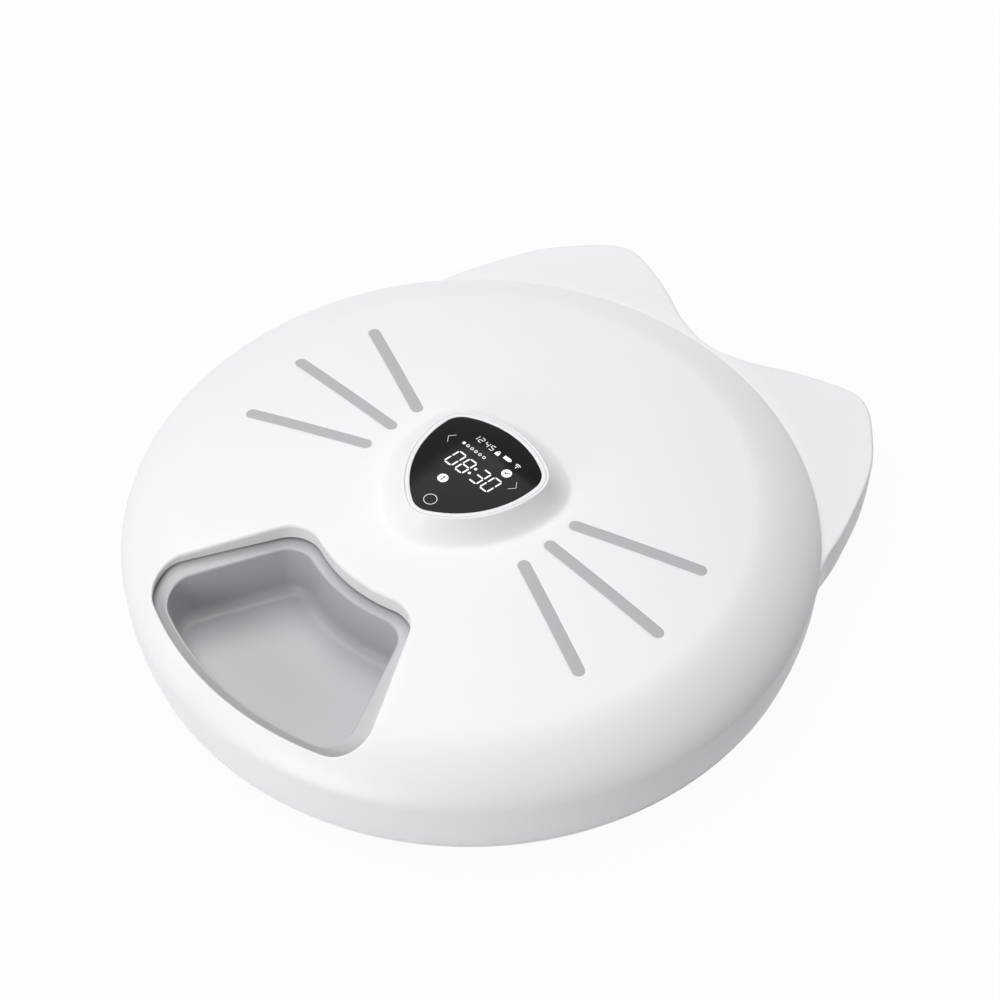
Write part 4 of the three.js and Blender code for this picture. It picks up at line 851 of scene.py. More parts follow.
# %% [markdown]
# From the shoulder outwards the shell is turned, column by column: over the shoulder, down the wall to the
# foot of the skirt and back up inside. Behind, where the base has its own wall with the ears, the columns
# end early, and a face closes the skirt's end on each side.

# %% The lid's shoulder and skirt
ear_side = 32  # degrees round from +X where the ears' wall begins
angle_play = 1e-6
lid_over_ears = 31.75
skirt_bottom_height, skirt_edge, skirt_edge_steps = 5, 0.5, 4
shoulder_steps, wall_steps, inner_steps = 10, 16, 8


def turned(profile, angles):
    """Rings of points, one for each radius and height of a profile, with a point for each angle."""
    return [[(*polar(radius, angle), height) for angle in angles] for radius, height in profile]


def shoulder_profile(steps):
    """Radius and height from the edge of the plan out and down to the upright wall."""
    start = math.asin(((lid_plan_edge - shoulder_radius) / shoulder_width) ** (shoulder_power / 2))
    profile = [(lid_plan_edge, lid_height(lid_plan_edge, 0))]
    for i in range(1, steps + 1):
        turn = start + (math.pi / 2 - start) * i / steps
        radius = shoulder_radius + shoulder_width * math.sin(turn) ** (2 / shoulder_power)
        fall = shoulder_fall * (1 - math.cos(turn) ** (2 / shoulder_power)) if i < steps else shoulder_fall
        profile.append((radius, dome_height(radius) - fall))
    return profile


outer_profile = shoulder_profile(shoulder_steps)
wall_top = outer_profile[-1][1]
wall_heights = list(np.linspace(wall_top, skirt_bottom_height + skirt_edge, wall_steps))[1:]
foot_radius = wall_radius(skirt_bottom_height)
short_inside, short_end = (body_radius - lid_wall, lid_over_ears), (body_radius, lid_over_ears)
wall_profile = [
    *outer_profile[-2:],
    *[(wall_radius(height), height) for height in wall_heights],
    *[(foot_radius - skirt_edge * away, skirt_bottom_height + skirt_edge * up)
      for up, away in quarter_round(skirt_edge_steps)[1:]],
    (foot_radius - lid_wall, skirt_bottom_height),
    *[(wall_radius(height) - lid_wall, height) for height in reversed(wall_heights)][:-1],
    short_inside,
]
inner_shoulder = [(radius, under_lid(radius, 0))
                  for radius in reversed(np.linspace(inner_plan_edge, under_radii[-1], inner_steps))]
full_angles = [a for a in column_angles if a >= 180 - ear_side - angle_play]
full_angles += [a + 360 for a in column_angles if a <= ear_side + angle_play]
short_angles = [a for a in column_angles if ear_side - angle_play <= a <= 180 - ear_side + angle_play]

lid.rings(turned(outer_profile[:-1], column_angles))
lid.rings(turned([*wall_profile, *inner_shoulder], full_angles), closed=False)
lid.rings(turned([outer_profile[-2], short_end, short_inside, *inner_shoulder], short_angles), closed=False)
for angle in (ear_side, 180 - ear_side):
    lid.face(*[(*polar(radius, angle), height) for radius, height in [*wall_profile, short_end]])
lid_shell = lid.mesh("lid_shell_fine", white_abs)
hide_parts("lid_shell")
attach(lid_shell, "lid")
print("columns", len(full_angles), "full and", len(short_angles), "short; wall top", round(wall_top, 2))
print("lid faces", len(lid_shell.data.polygons))

# %% [markdown]
# The six whiskers are thin grey inlays, pressed into the lid's grooves and flush with the dome. Each is a
# flat bar with round ends that follows the dome's surface: a top meshed in plan, a tiny rounding at its
# edge, a wall and a floor. One loop makes all six, because only their side and row differ.

# %% Whisker inlays
inlay_depth, inlay_edge = 1.1, 0.08
row_names = {1: "rear", 0: "middle", -1: "front"}


def inlay_foot(x, y):
    return lid_height(x, y) - inlay_depth


for side, row in whisker_rows:
    def drawn_in(inset, side=side, row=row):
        return whisker_outline(side, row, -inset)

    inlay = Surface()
    inlay.rings([*rounded_edge(drawn_in, inlay_edge, groove_edge_steps, lid_height),
                 at_height(drawn_in(0), inlay_foot)])
    loose = [p for inset in groove_insets for p in drawn_in(inset)]
    inlay.area(drawn_in(inlay_edge), lid_height, loose=loose)
    inlay.area(drawn_in(0), inlay_foot, loose=loose)
    node = f"whisker_{'right' if side > 0 else 'left'}_{row_names[row]}"
    piece = inlay.mesh(node + "_fine", grey_inlay)
    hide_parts(node)
    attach(piece, "lid")
print("whiskers", len(whisker_rows))

# %% [markdown]
# The tray is one smooth grey moulding with six compartments. Here only its upper skin is gathered.
# Rings roll over each compartment's edge, go down its drafted wall and turn into the floor. The six are
# equal, so one loop makes them, each a sixth of a turn further.

# %% The tray's compartments
pocket_inner, pocket_outer, pocket_half_angle, pocket_corner = 82.1, 150.7, 24.8, 13
pocket_floor, pocket_floor_fillet, pocket_rim_fillet, pocket_draft = 19.3, 6, 1.2, 0.9
pocket_fillet_steps, pocket_wall_shares = 8, (0.33, 0.67, 1)
pocket_grid, pocket_clear, rim_clear = 5, 1.5, 0.8
pocket_count = 6

tray = Surface()
pocket_tops, near_pockets = [], []
floor_grid = np.array(polar_grid(np.arange(pocket_inner, pocket_outer, pocket_grid), pocket_grid))
wall_foot = pocket_floor + pocket_floor_fillet
for turn in range(pocket_count):
    def pocket(grow, turn=turn):
        return rounded_sector(pocket_inner, pocket_outer, pocket_half_angle, pocket_corner, grow,
                              middle=-90 + 360 / pocket_count * turn)

    rings = rounded_edge(pocket, pocket_rim_fillet, pocket_fillet_steps, tray_top)
    wall_head = rings[-1]
    for share in pocket_wall_shares:
        rings.append([
            (x, y, top + (wall_foot - top) * share)
            for (x, y), (_, _, top) in zip(pocket(-pocket_draft * share), wall_head)
        ])
    for up, away in quarter_round(pocket_fillet_steps)[1:]:
        rings.append(at_height(pocket(-(pocket_draft + pocket_floor_fillet * away)),
                               pocket_floor + pocket_floor_fillet * up))
    tray.rings(rings)
    floor_outline = pocket(-pocket_draft - pocket_floor_fillet)
    near = inside(floor_grid, pocket(-pocket_draft - pocket_floor_fillet - pocket_clear))
    tray.area(floor_outline, pocket_floor, loose=floor_grid[near])
    pocket_tops.append(pocket(pocket_rim_fillet))
    near_pockets.append(pocket(pocket_rim_fillet + rim_clear))
print("faces of the compartments", len(tray.faces))

# %% [markdown]
# The rim is meshed in plan between the compartments, slopes down with the lid towards the edge and rolls
# over outside and inside. Then Solidify gives the skin the wall's thickness, below and outside it, so the
# compartments keep their exact size.

# %% Food tray
tray_wall, tray_apron, tray_edge, tray_edge_steps = 2, 9, 2.2, 6
rim_step, rim_arc, rim_in_clear, rim_out_clear = 1.7, 2.5, 1.5, 1
tray_sharp_degrees = 40


def baked(piece):
    """Turn a piece and its modifiers into a plain mesh."""
    evaluated = piece.evaluated_get(bpy.context.evaluated_depsgraph_get())
    mesh = bpy.data.meshes.new_from_object(evaluated)
    piece.modifiers.clear()
    piece.data = mesh
    return mesh


def solidify(piece, thickness):
    """Give an open sheet its wall, on the side away from its faces."""
    wall = piece.modifiers.new("wall", "SOLIDIFY")
    wall.thickness = thickness * mm
    wall.offset = -1
    wall.use_even_offset = True
    mesh = baked(piece)
    outwards(mesh)
    smoothed(mesh, tray_sharp_degrees)


rim_inner, rim_outer = tray_inner + tray_edge, tray_outer - tray_edge
tray.area(circle(rim_outer), tray_top, [circle(rim_inner), *pocket_tops], near_pockets,
          polar_grid(np.arange(rim_inner + rim_in_clear, rim_outer - rim_out_clear, rim_step), rim_arc))
for edge, sign in ((tray_outer, -1), (tray_inner, 1)):
    rings = [
        at_height(circle(edge + sign * tray_edge * away), lambda x, y: tray_top(x, y) - tray_edge * down)
        for away, down in quarter_round(tray_edge_steps)
    ]
    tray.rings([*rings, at_height(circle(edge), tray_top(edge, 0) - tray_apron)])
food_tray = tray.mesh("food_tray_fine", grey_tray, sheet=True)
solidify(food_tray, tray_wall)
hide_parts("food_tray")
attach(food_tray, "carousel")
print("tray faces", len(food_tray.data.polygons))

# %% [markdown]
# The display stands on a cap that closes the middle tower, and reaches up through the lid. Its outline is a
# rounded triangle like a nose. The housing is built from rings of that outline: out of the glass seat, over
# the flat white rim, down the side and out onto the cap.

# %% Display housing
tower_radius, tower_inner = 57.5, 55
cap_under, cap_top, cap_skirt, cap_edge, cap_skirt_wall, cap_play = 50.3, 52.8, 4, 0.6, 2.5, 0.3
glass_drop, glass_thickness = 0.2, 1.7
glass_gap, glass_ledge, glass_seat_drop = 0.12, 1.5, 0.3
ledge_under, shaft_grow = 65.3, 0.5
rim_edge = 0.15
pod_base_fillet, pod_base_steps = 1.2, 6

glass_top = display_top - glass_drop
glass_under = glass_top - glass_thickness
seat = glass_under - glass_seat_drop
rim_profile = [
    (glass_gap, seat), (glass_gap, display_top - rim_edge),
    (glass_gap + rim_edge * edge_cut, display_top - rim_edge * edge_cut), (glass_gap + rim_edge, display_top),
    (housing_rim - rim_edge, display_top),
    (housing_rim - rim_edge * edge_cut, display_top - rim_edge * edge_cut),
    (housing_rim, display_top - rim_edge), (housing_rim, cap_top + pod_base_fillet),
    *[(housing_rim + pod_base_fillet * away, cap_top + pod_base_fillet * up)
      for up, away in quarter_round(pod_base_steps)[1:]],
]
shaft_profile = [
    (glass_gap, seat), (-glass_ledge, seat), (-glass_ledge, ledge_under),
    (shaft_grow, ledge_under), (shaft_grow, cap_under),
]
housing = Surface()
for profile in (rim_profile, shaft_profile):
    housing.rings([at_height(nose_outline(grow), height) for grow, height in profile])
housing.area(circle(tower_radius - cap_edge), cap_top, [nose_outline(rim_profile[-1][0])])
skirt_outer = tower_inner - cap_play
skirt_inner = skirt_outer - cap_skirt_wall
housing.area(circle(skirt_inner), cap_under, [nose_outline(shaft_grow)])
housing.rings(turned([
    (tower_radius - cap_edge, cap_top), (tower_radius - cap_edge * edge_cut, cap_top - cap_edge * edge_cut),
    (tower_radius, cap_top - cap_edge), (tower_radius, cap_under), (skirt_outer, cap_under),
    (skirt_outer, cap_under - cap_skirt), (skirt_inner, cap_under - cap_skirt), (skirt_inner, cap_under),
], column_angles))
display_housing = housing.mesh("display_housing_fine", white_abs)
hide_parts("display_housing")
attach(display_housing, "base")
print("housing faces", len(display_housing.data.polygons))

# %% [markdown]
# The glass is a flat black plate with a finely broken edge. It lies a fifth of a millimetre below the rim,
# so that the rim takes the knocks.

# %% Display glass
glass_edge, glass_edge_middle = 0.2, 0.06
glass_loose = [(0, 0), (5, 3), (-5, 3)]
glass = Surface()
glass.rings([at_height(nose_outline(-inset), height) for inset, height in (
    (glass_edge, glass_top), (glass_edge_middle, glass_top - glass_edge_middle), (0, glass_top - glass_edge),
    (0, glass_under),
)])
for grow, height in ((-glass_edge, glass_top), (0, glass_under)):
    glass.area(nose_outline(grow), height, loose=glass_loose)
display_glass = glass.mesh("display_glass_fine", display_acrylic)
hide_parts("display_glass")
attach(display_glass, "base")
print("glass faces", len(display_glass.data.polygons))

# %% [markdown]
# What lights up on the display is drawn as thin printed shapes that lie on the glass. Every shape is one
# short outline with at most one hole, so one small function turns them all into plates. A figure of the
# clock is made of up to seven bars with pointed ends, and it leans a little to the right.

# %% Plates and figures for the display
mark_height = 0.03
figure_lean = 0.1
segment_gap = 0.06  # left free at each end of a segment, as a share of its length
segment_ends = {
    "a": ((0, 1), (1, 1)), "b": ((1, 1), (1, 0.5)), "c": ((1, 0.5), (1, 0)), "d": ((0, 0), (1, 0)),
    "e": ((0, 0.5), (0, 0)), "f": ((0, 1), (0, 0.5)), "g": ((0, 0.5), (1, 0.5)),
}
segments_of = {0: "abcdef", 1: "bc", 2: "abged", 3: "abgcd", 4: "fgbc", 5: "afgcd", 8: "abcdefg"}
marks = Surface()


def plate(outline, hole=None):
    """A thin closed plate on the glass, with at most one hole."""
    holes = [hole] if hole else []
    high = glass_top + mark_height
    for ring in [outline, *holes]:
        marks.strip(at_height(ring, glass_top), at_height(ring, high))
    for height in (high, glass_top):
        marks.area(outline, height, holes)


def around(centre, points):
    return [(centre[0] + x, centre[1] + y) for x, y in points]


def bow(centre, radius, width, start, end, steps):
    """An arc of even width: out along its outer edge and back along its inner edge."""
    half = width / 2
    return arc(centre, radius + half, start, end, steps) + arc(centre, radius - half, end, start, steps)


def pointed_bar(start, end, width):
    along = (end - start).normalized()
    aside = Vector((-along.y, along.x)) * width / 2
    tip = along * width / 2
    return [tuple(p) for p in (start, start + tip - aside, end - tip - aside, end, end - tip + aside,
                               start + tip + aside)]


def figure(number, x, y, width, height, line):
    """One seven-segment figure with its lower left corner at x, y."""
    for name in segments_of[number]:
        start, end = (Vector((x + column * width + row * height * figure_lean, y + row * height))
                      for column, row in segment_ends[name])
        plate(pointed_bar(start.lerp(end, segment_gap), end.lerp(start, segment_gap), line))


print("figures that can be drawn:", list(segments_of))

# %% [markdown]
# The clock takes the middle of the display. Small figures stand above it, and a row of six dots, one for each
# meal, shows how far the tray has turned. All sizes are in millimetres from the turning axis.

# %% Clock, small figures and dots
clock_x, clock_y, clock_width, clock_height, clock_line, clock_step = -12.2, -5.4, 4.6, 9.2, 0.78, 7.0
colon_step, colon_aside, colon_dot = 1.92, 0.3, 0.75
for place_index, number in ((0, 0), (1, 8), (2.35, 3), (3.35, 0)):
    figure(number, clock_x + place_index * clock_step, clock_y, clock_width, clock_height, clock_line)
for up_by in (0.3 * clock_height, 0.7 * clock_height):
    colon_x = clock_x + colon_step * clock_step + colon_aside + up_by * figure_lean
    plate(disc((colon_x, clock_y + up_by), colon_dot))

small_x, small_y, small_width, small_height, small_line = -13.4, 14.4, 2, 3, 0.34
small_step, small_gap = 3.3, 0.5
for place_index, number in enumerate((1, 2, 4, 5)):
    gap = small_gap if place_index > 1 else 0
    figure(number, small_x + place_index * small_step + gap, small_y, small_width, small_height, small_line)

meal_x, meal_y, meal_step, meal_dot, meal_hole = -13.6, 8.9, 2.65, 0.85, 0.51
for meal in range(pocket_count):
    spot = (meal_x + meal * meal_step, meal_y)
    plate(disc(spot, meal_dot), disc(spot, meal_hole) if meal else None)
print("faces of the figures", len(marks.faces))

# %% [markdown]
# The rest are common signs: two arrows, a ring for the key, a lock, a cell, a signal, a tick and the number
# of the meal, the last two cut out of a disc. They are generic, without a name or a mark of a maker. The
# print is milky and lit from behind, so it gives a little light of its own.

# %% Signs of the display
arrow_reach, arrow_half, arrow_line = 2.3, 2.9, 0.21
for x, y, sign in ((-20.8, 6.9, -1), (22.4, 5.9, 1)):
    tail, tip, line = x - sign * arrow_reach / 2, x + sign * arrow_reach / 2, sign * arrow_line
    plate([(tail, y + arrow_half), (tail + line, y + arrow_half), (tip + line, y),
           (tail + line, y - arrow_half), (tail, y - arrow_half), (tip, y)])

ring_spot, ring_outer, ring_inner = (0.8, -26.6), 3.2, 2.96
plate(disc(ring_spot, ring_outer, 40), disc(ring_spot, ring_inner, 40))
one = ((0.4, -1.6), (0.4, 1.6), (-0.1, 1.6), (-0.9, 0.9), (-0.9, 0.4), (-0.2, 0.9), (-0.2, -1.6))
tick = ((-1.4, 0.1), (-1.0, 0.5), (-0.4, -0.2), (1.0, 1.2), (1.4, 0.8), (-0.4, -1.0))
for spot, radius, sign in (((-4.6, -13.5), 2.6, one), ((14.2, 9.3), 2.5, tick)):
    plate(disc(spot, radius, 32), around(spot, sign))

lock, cell, signal = (2.3, 15.3), (7.9, 16.0), (14.6, 14.9)
plate(around(lock, rectangle(-1.2, -1.2, 1.2, 0.5)))
plate(bow(around(lock, [(0, 0.6)])[0], 0.75, 0.4, 0, 180, 12))
plate(around(cell, rectangle(-2, -1, 2, 1)))
plate(around(cell, rectangle(2.15, -0.45, 2.55, 0.45)))
plate(disc(signal, 0.4))
for radius in (1.2, 2.1):
    plate(bow(signal, radius, 0.4, 45, 135, 9))


def lit_sign(name, dot_mm):
    """Milky print with the backlight behind it: a white that gives a little light of its own."""
    material, tree = material_tree(name)
    where = add_node(tree, "ShaderNodeTexCoord").outputs["Object"]
    dots = add_node(tree, "ShaderNodeTexNoise", {"Vector": where, "Scale": 1 / (dot_mm * mm), "Detail": 1.0})
    tint = add_node(tree, "ShaderNodeMix", {
        0: dots.outputs["Fac"], mix_from: linear("F2F4F6"), mix_to: linear("FFFFFF"),
    }, data_type="RGBA")
    finish_tree(tree, add_node(tree, "ShaderNodeBsdfPrincipled", {
        "Base Color": tint.outputs[mix_colour], "Roughness": 0.5, "IOR": 1.5,
        "Emission Color": linear("FFFFFF"), "Emission Strength": 0.35,
    }))
    return material


display_marks = marks.mesh("display_marks", lit_sign("backlit milky print", dot_mm=0.6))
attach(display_marks, "base")
print("marks", len(display_marks.data.polygons))

# %% [markdown]
# Behind, the base has two flat ears and a wall between them. They follow a free curve through a few
# given points, each an angle round the axis and a share of the ear's length. The curve is drawn for one
# ear and mirrored, and it draws in towards the floor like the body's wall.

# %% Outline of the ears
ear_length, rear_wall_step = 46.2, 5
ear_play = 0.03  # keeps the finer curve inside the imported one
ear_outline_shares = [
    (32, 0.004), (37, 0.06), (44, 0.28), (54.3, 0.665), (61.3, 0.879), (66.6, 1), (70.3, 0.916), (76.4, 0.583),
    (82.8, 0.251),
]
ear_curve_steps = 12
seam_share = 0.01  # of the first step, so that the ear starts just behind the lid's skirt


def smooth_curve(points, steps, start_share):
    """A curve through all points: each span is a cubic that takes its slopes from the neighbours."""
    curve = []
    for i in range(len(points) - 1):
        before, first, second, after = (points[min(max(j, 0), len(points) - 1)] for j in range(i - 1, i + 3))
        slope, next_slope = (second - before) / 2, (after - first) / 2
        cubic = 2 * first - 2 * second + slope + next_slope
        square = 3 * second - 3 * first - 2 * slope - next_slope
        for step in range(steps):
            t = step / steps if i or step else start_share
            curve.append(cubic * t ** 3 + square * t ** 2 + slope * t + first)
    return [*curve, points[-2].lerp(points[-1], 1 - start_share)]


def ear_outline(height, grow=0):
    """The ears and the rear wall from the right seam round to the left one, at a height."""
    drawn_in = body_radius - wall_radius(height)
    half = [
        Vector(polar(body_radius + ear_length * share - drawn_in * (1 - share), degrees))
        for degrees, share in ear_outline_shares
    ]
    mirrored = [Vector((-p.x, p.y)) for p in reversed(half)]
    rear = Vector((0, body_radius + rear_wall_step))
    curve = smooth_curve([*half, rear, *mirrored], ear_curve_steps, seam_share)
    grown = []
    for before, p, after in zip([curve[0], *curve], curve, [*curve[1:], curve[-1]]):
        along = (after - before).normalized()
        grown.append((p.x + along.y * (grow - ear_play), p.y - along.x * (grow - ear_play)))
    return grown


print("ear tip at y =", round(max(p[1] for p in ear_outline(foot_height)), 2), "mm from the axis at the foot")

# %% [markdown]
# The base and its cover are joined and cut from plain solids, as a tool maker works: turned parts, a
# crescent that follows the ears' outline at several heights, and boxes. Each solid is closed, because a
# boolean needs that to tell inside from outside.

# %% Solids to join and to cut with
overrun = 3  # how far a cutter reaches past the surface that it cuts


def turned_part(profile, place=(0, 0), name="turned_part", steps=40):
    """A solid turned from a closed profile of radii and heights, standing at a place in plan."""
    surface = Surface()
    rings = [at_height(disc(place, radius, steps), height) for radius, height in profile]
    surface.rings([*rings, rings[0]])
    return surface.mesh(name, white_abs)


def rod_profile(radius, low, high):
    return [(0, low), (radius, low), (radius, high), (0, high)]


def rounded_corner(radius, height, size, start, end, steps=4):
    """Points of a profile's rounded corner, from one angle to another round its centre."""
    return arc((radius, height), size, start, end, steps)


def crescent(levels, inner_radius, start_degrees=0):
    """A solid from the ears' outline in to an arc; a level is a height, and its outline's height and growth."""
    rings = []
    for height, outline_height, grow in levels:
        outer, inner = [], []
        for x, y in ear_outline(outline_height, grow):
            degrees = math.degrees(math.atan2(y, x))
            if start_degrees <= degrees <= 180 - start_degrees:
                outer.append((x, y, height))
                inner.append((*polar(inner_radius, degrees), height))
        rings.append((outer, inner))
    surface = Surface()
    surface.rings([outer + inner[::-1] for outer, inner in rings])
    for outer, inner in (rings[0], rings[-1]):
        surface.strip(outer, inner, closed=False)
    return surface.mesh("crescent", white_abs)


def block(low, high):
    """A box between two corners, to cut with."""
    surface = Surface()
    ring = rectangle(*low[:2], *high[:2])
    surface.strip(at_height(ring, low[2]), at_height(ring, high[2]))
    surface.face(*at_height(ring, low[2]))
    surface.face(*at_height(ring, high[2]))
    return surface.mesh("block", white_abs)


def combine(piece, others, operation):
    """Join or cut a piece with others, which are then gone."""
    for other in others:
        step = piece.modifiers.new(operation.lower(), "BOOLEAN")
        step.operation = operation
        step.solver = "MANIFOLD"
        step.object = other
        baked(piece)
        bpy.data.objects.remove(other)
    outwards(piece.data)
    smoothed(piece.data)


print("the ears' outline has", len(ear_outline(foot_height)), "points on each level")

# %% [markdown]
# The base carries everything. Most of it is turned from one profile: the round well for the tray with its
# rail, the tower in the middle and the narrow flange under the lid's skirt. Its corners are arcs, so the
# profile reads like a drawing.

# %% Turned part of the base
well_radius, well_outer, well_floor, well_floor_under, well_fillet = 158.81, 160.81, 13, 10.5, 1.5
rail_inner, rail_width, rail_height, rail_round = 138, 3, 2.7, 0.4
flange_top, flange_chamfer, flange_round = 4.87, 0.3, 0.5
tower_top, tower_chamfer = 50, 0.3
ear_top, wall_break = 31.6, 0.05

rail_outer, flange_radius = rail_inner + rail_width, wall_radius(flange_top)
rail_round_height = well_floor + rail_height - rail_round
base = turned_part([
    (tower_inner, well_floor_under), (tower_inner, tower_top - tower_chamfer),
    (tower_inner + tower_chamfer, tower_top), (tower_radius - tower_chamfer, tower_top),
    (tower_radius, tower_top - tower_chamfer),
    *rounded_corner(tower_radius + well_fillet, well_floor + well_fillet, well_fillet, 180, 270),
    (rail_inner, well_floor), *rounded_corner(rail_inner + rail_round, rail_round_height, rail_round, 180, 90),
    *rounded_corner(rail_outer - rail_round, rail_round_height, rail_round, 90, 0), (rail_outer, well_floor),
    *rounded_corner(well_radius - well_fillet, well_floor + well_fillet, well_fillet, 270, 360),
    *rounded_corner(well_radius + rail_round, ear_top - rail_round, rail_round, 180, 90),
    (well_outer - wall_break, ear_top), (well_outer, ear_top - wall_break), (well_outer, flange_top),
    (flange_radius - flange_chamfer, flange_top), (flange_radius, flange_top - flange_chamfer),
    *rounded_corner(body_foot_radius - flange_round, foot_height + flange_round, flange_round, 0, -90),
    (well_radius, foot_height), (well_radius, well_floor_under),
], name="base_shell_fine", steps=columns)
print("turned base faces", len(base.data.polygons))

# %% [markdown]
# The ears are a crescent with rounded edges. A boolean joins it to the turned part, hollows the ears out from
# below, and cuts the slot where the pinion reaches the gear ring and the mouth for the power plug.

# %% Base shell
ear_edge, ear_edge_steps, ear_wall = 1.2, 5, 2.4
ear_low_gap, ear_high_gap, ear_levels_between = 1, 0.5, 12  # where the straight wall's levels begin and end
ear_flat, ear_overlap, ear_hollow_seam = 0.8, 0.9, 34
cover_way_high, cover_way_overlap = 5.3, 8
slot_half_width, slot_front, slot_low, slot_high = 11.9, 50, 24.4, 31.3
mouth_half_width, mouth_low, mouth_high = 4.8, 6.5, 10.3

ear_heights = np.linspace(foot_height + ear_edge + ear_low_gap, ear_top - ear_edge - ear_high_gap,
                          ear_levels_between)
ears = crescent([
    (foot_height, foot_height, -ear_edge - ear_flat),
    *[(foot_height + ear_edge * up_by, foot_height, -ear_edge * away)
      for away, up_by in quarter_round(ear_edge_steps)],
    *[(height, height, 0) for height in ear_heights],
    *[(ear_top - ear_edge * down, ear_top, -ear_edge * away) for down, away in quarter_round(ear_edge_steps)],
    (ear_top, ear_top, -ear_edge - ear_flat),
], well_outer - ear_overlap)
combine(base, [ears], "UNION")


def under_ears(high, inner_radius):
    """A cutter that follows the inside of the ears' wall, up from below the foot to a height."""
    return crescent([(height, foot_height, -ear_wall) for height in (foot_height - overrun, high)],
                    inner_radius, ear_hollow_seam)


combine(base, [
    under_ears(ear_top - ear_wall, well_outer),
    under_ears(cover_way_high, well_radius - cover_way_overlap),
    block((-slot_half_width, slot_front, slot_low), (slot_half_width, tower_radius + overrun, slot_high)),
    block((-mouth_half_width, well_radius - overrun, mouth_low),
          (mouth_half_width, body_radius + rear_wall_step + overrun, mouth_high)),
], "DIFFERENCE")
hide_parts("base_shell")
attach(base, "base")
print("base faces", len(base.data.polygons))

# %% [markdown]
# Below the well, six bosses take the cover's screws. Each is a short tube turned from its profile and joined
# to the base.

# %% Screw bosses of the base
screw_hole, screw_circle, screw_angles = 1.7, 151, (-110, -70, -10, 50, 130, 190)
boss_radius, boss_low, boss_high, boss_chamfer = 3.6, 5.3, 11.75, 0.2

screw_places = [polar(screw_circle, angle) for angle in screw_angles]
boss_profile = [
    (screw_hole, boss_low), (boss_radius - boss_chamfer, boss_low), (boss_radius, boss_low + boss_chamfer),
    (boss_radius, boss_high), (screw_hole, boss_high),
]
combine(base, [turned_part(boss_profile, spot) for spot in screw_places], "UNION")
print("base with bosses", len(base.data.polygons))

# %% [markdown]
# The cover is a flat plate, a disc with a wing under the ears, so it is turned and lofted like the base. Two
# posts for the motor are joined on. Seats for screws and feet, the door's recess and the way to the cells
# are cut out with simple solids.

# %% Bottom cover
cover_low, cover_high, cover_radius, cover_edge = 2, 5, 158.5, 0.4
ear_plate_inset, ear_plate_seam, ear_plate_overlap = 2.7, 34.4, 8
post_radius, post_high, post_hole_low, post_spread, post_y, post_sink = 3.2, 22.3, 16, 17.5, 42, 0.5
head_seat, head_seat_high, head_chamfer = 3.1, 3.9, 0.3
foot_seat, foot_seat_high, foot_seat_steps = 7.3, 3.3, 64
foot_rings = ((140, (-52, -128, 8, 172)), (180, (64, 116)))  # under the disc and under the ears
bay_half, bay_front, bay_rear = 29.8, -40.05, 14.05
door_lap, door_slide, door_recess_high = 3.3, 6, 3.8

broken_edges = [(cover_low, cover_edge), (cover_low + cover_edge, 0), (cover_high - cover_edge, 0),
                (cover_high, cover_edge)]
cover = turned_part(
    [(0, cover_low), *[(cover_radius - inset, height) for height, inset in broken_edges], (0, cover_high)],
    name="bottom_cover_fine", steps=columns,
)
wing = crescent([(height, cover_low, -ear_plate_inset - inset) for height, inset in broken_edges],
                cover_radius - ear_plate_overlap, ear_plate_seam)
post_places = [(-post_spread, post_y), (post_spread, post_y)]
foot_places = [polar(radius, angle) for radius, angles in foot_rings for angle in angles]
posts = [turned_part(rod_profile(post_radius, cover_high - post_sink, post_high), spot) for spot in post_places]
combine(cover, [wing, *posts], "UNION")

low, through = cover_low - overrun, cover_high + overrun
seat_profile = [
    (0, low), (head_seat + head_chamfer, low), (head_seat + head_chamfer, cover_low),
    (head_seat, cover_low + head_chamfer), (head_seat, head_seat_high), (screw_hole, head_seat_high),
    (screw_hole, through), (0, through),
]
combine(cover, [
    *[turned_part(rod_profile(screw_hole, post_hole_low, post_high + overrun), spot) for spot in post_places],
    *[turned_part(seat_profile, spot) for spot in screw_places],
    *[turned_part(rod_profile(foot_seat, low, foot_seat_high), spot, steps=foot_seat_steps)
      for spot in foot_places],
    block((-bay_half - door_lap, bay_front - door_lap, low),
          (bay_half + door_lap, bay_rear + door_lap + door_slide, door_recess_high)),
    block((-bay_half, bay_front, low), (bay_half, bay_rear, through)),
], "DIFFERENCE")
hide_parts("bottom_cover")
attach(cover, "base")
print("cover faces", len(cover.data.polygons))

# %% [markdown]
# The battery door is right as packed, but its edges are knife sharp. A real moulding has a small radius on
# every edge, and that thin bright line is what the eye reads as plastic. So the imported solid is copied, its
# loose triangles are merged into clean flat faces, and a Bevel modifier breaks the edges.

# %% Battery door
def softened(node, width_mm, merge_mm=0.002, flat_degrees=1, bevel_degrees=40):
    """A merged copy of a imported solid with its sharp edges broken."""
    mesh = frame["nodes"][node].data.copy()
    shape = bmesh.new()
    shape.from_mesh(mesh)
    bmesh.ops.remove_doubles(shape, verts=shape.verts, dist=merge_mm * mm)
    bmesh.ops.dissolve_limit(shape, angle_limit=math.radians(flat_degrees),
                             verts=shape.verts, edges=shape.edges)
    shape.to_mesh(mesh)
    shape.free()
    piece = finished(mesh, node + "_fine", white_abs)
    edge = piece.modifiers.new("edge", "BEVEL")
    edge.width = width_mm * mm
    edge.segments = 3
    edge.limit_method = "ANGLE"
    edge.angle_limit = math.radians(bevel_degrees)
    outwards(baked(piece))
    smoothed(piece.data)
    return piece


door = softened("battery_door", 0.25)
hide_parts("battery_door")
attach(door, "battery_door")
print("door faces", len(door.data.polygons))

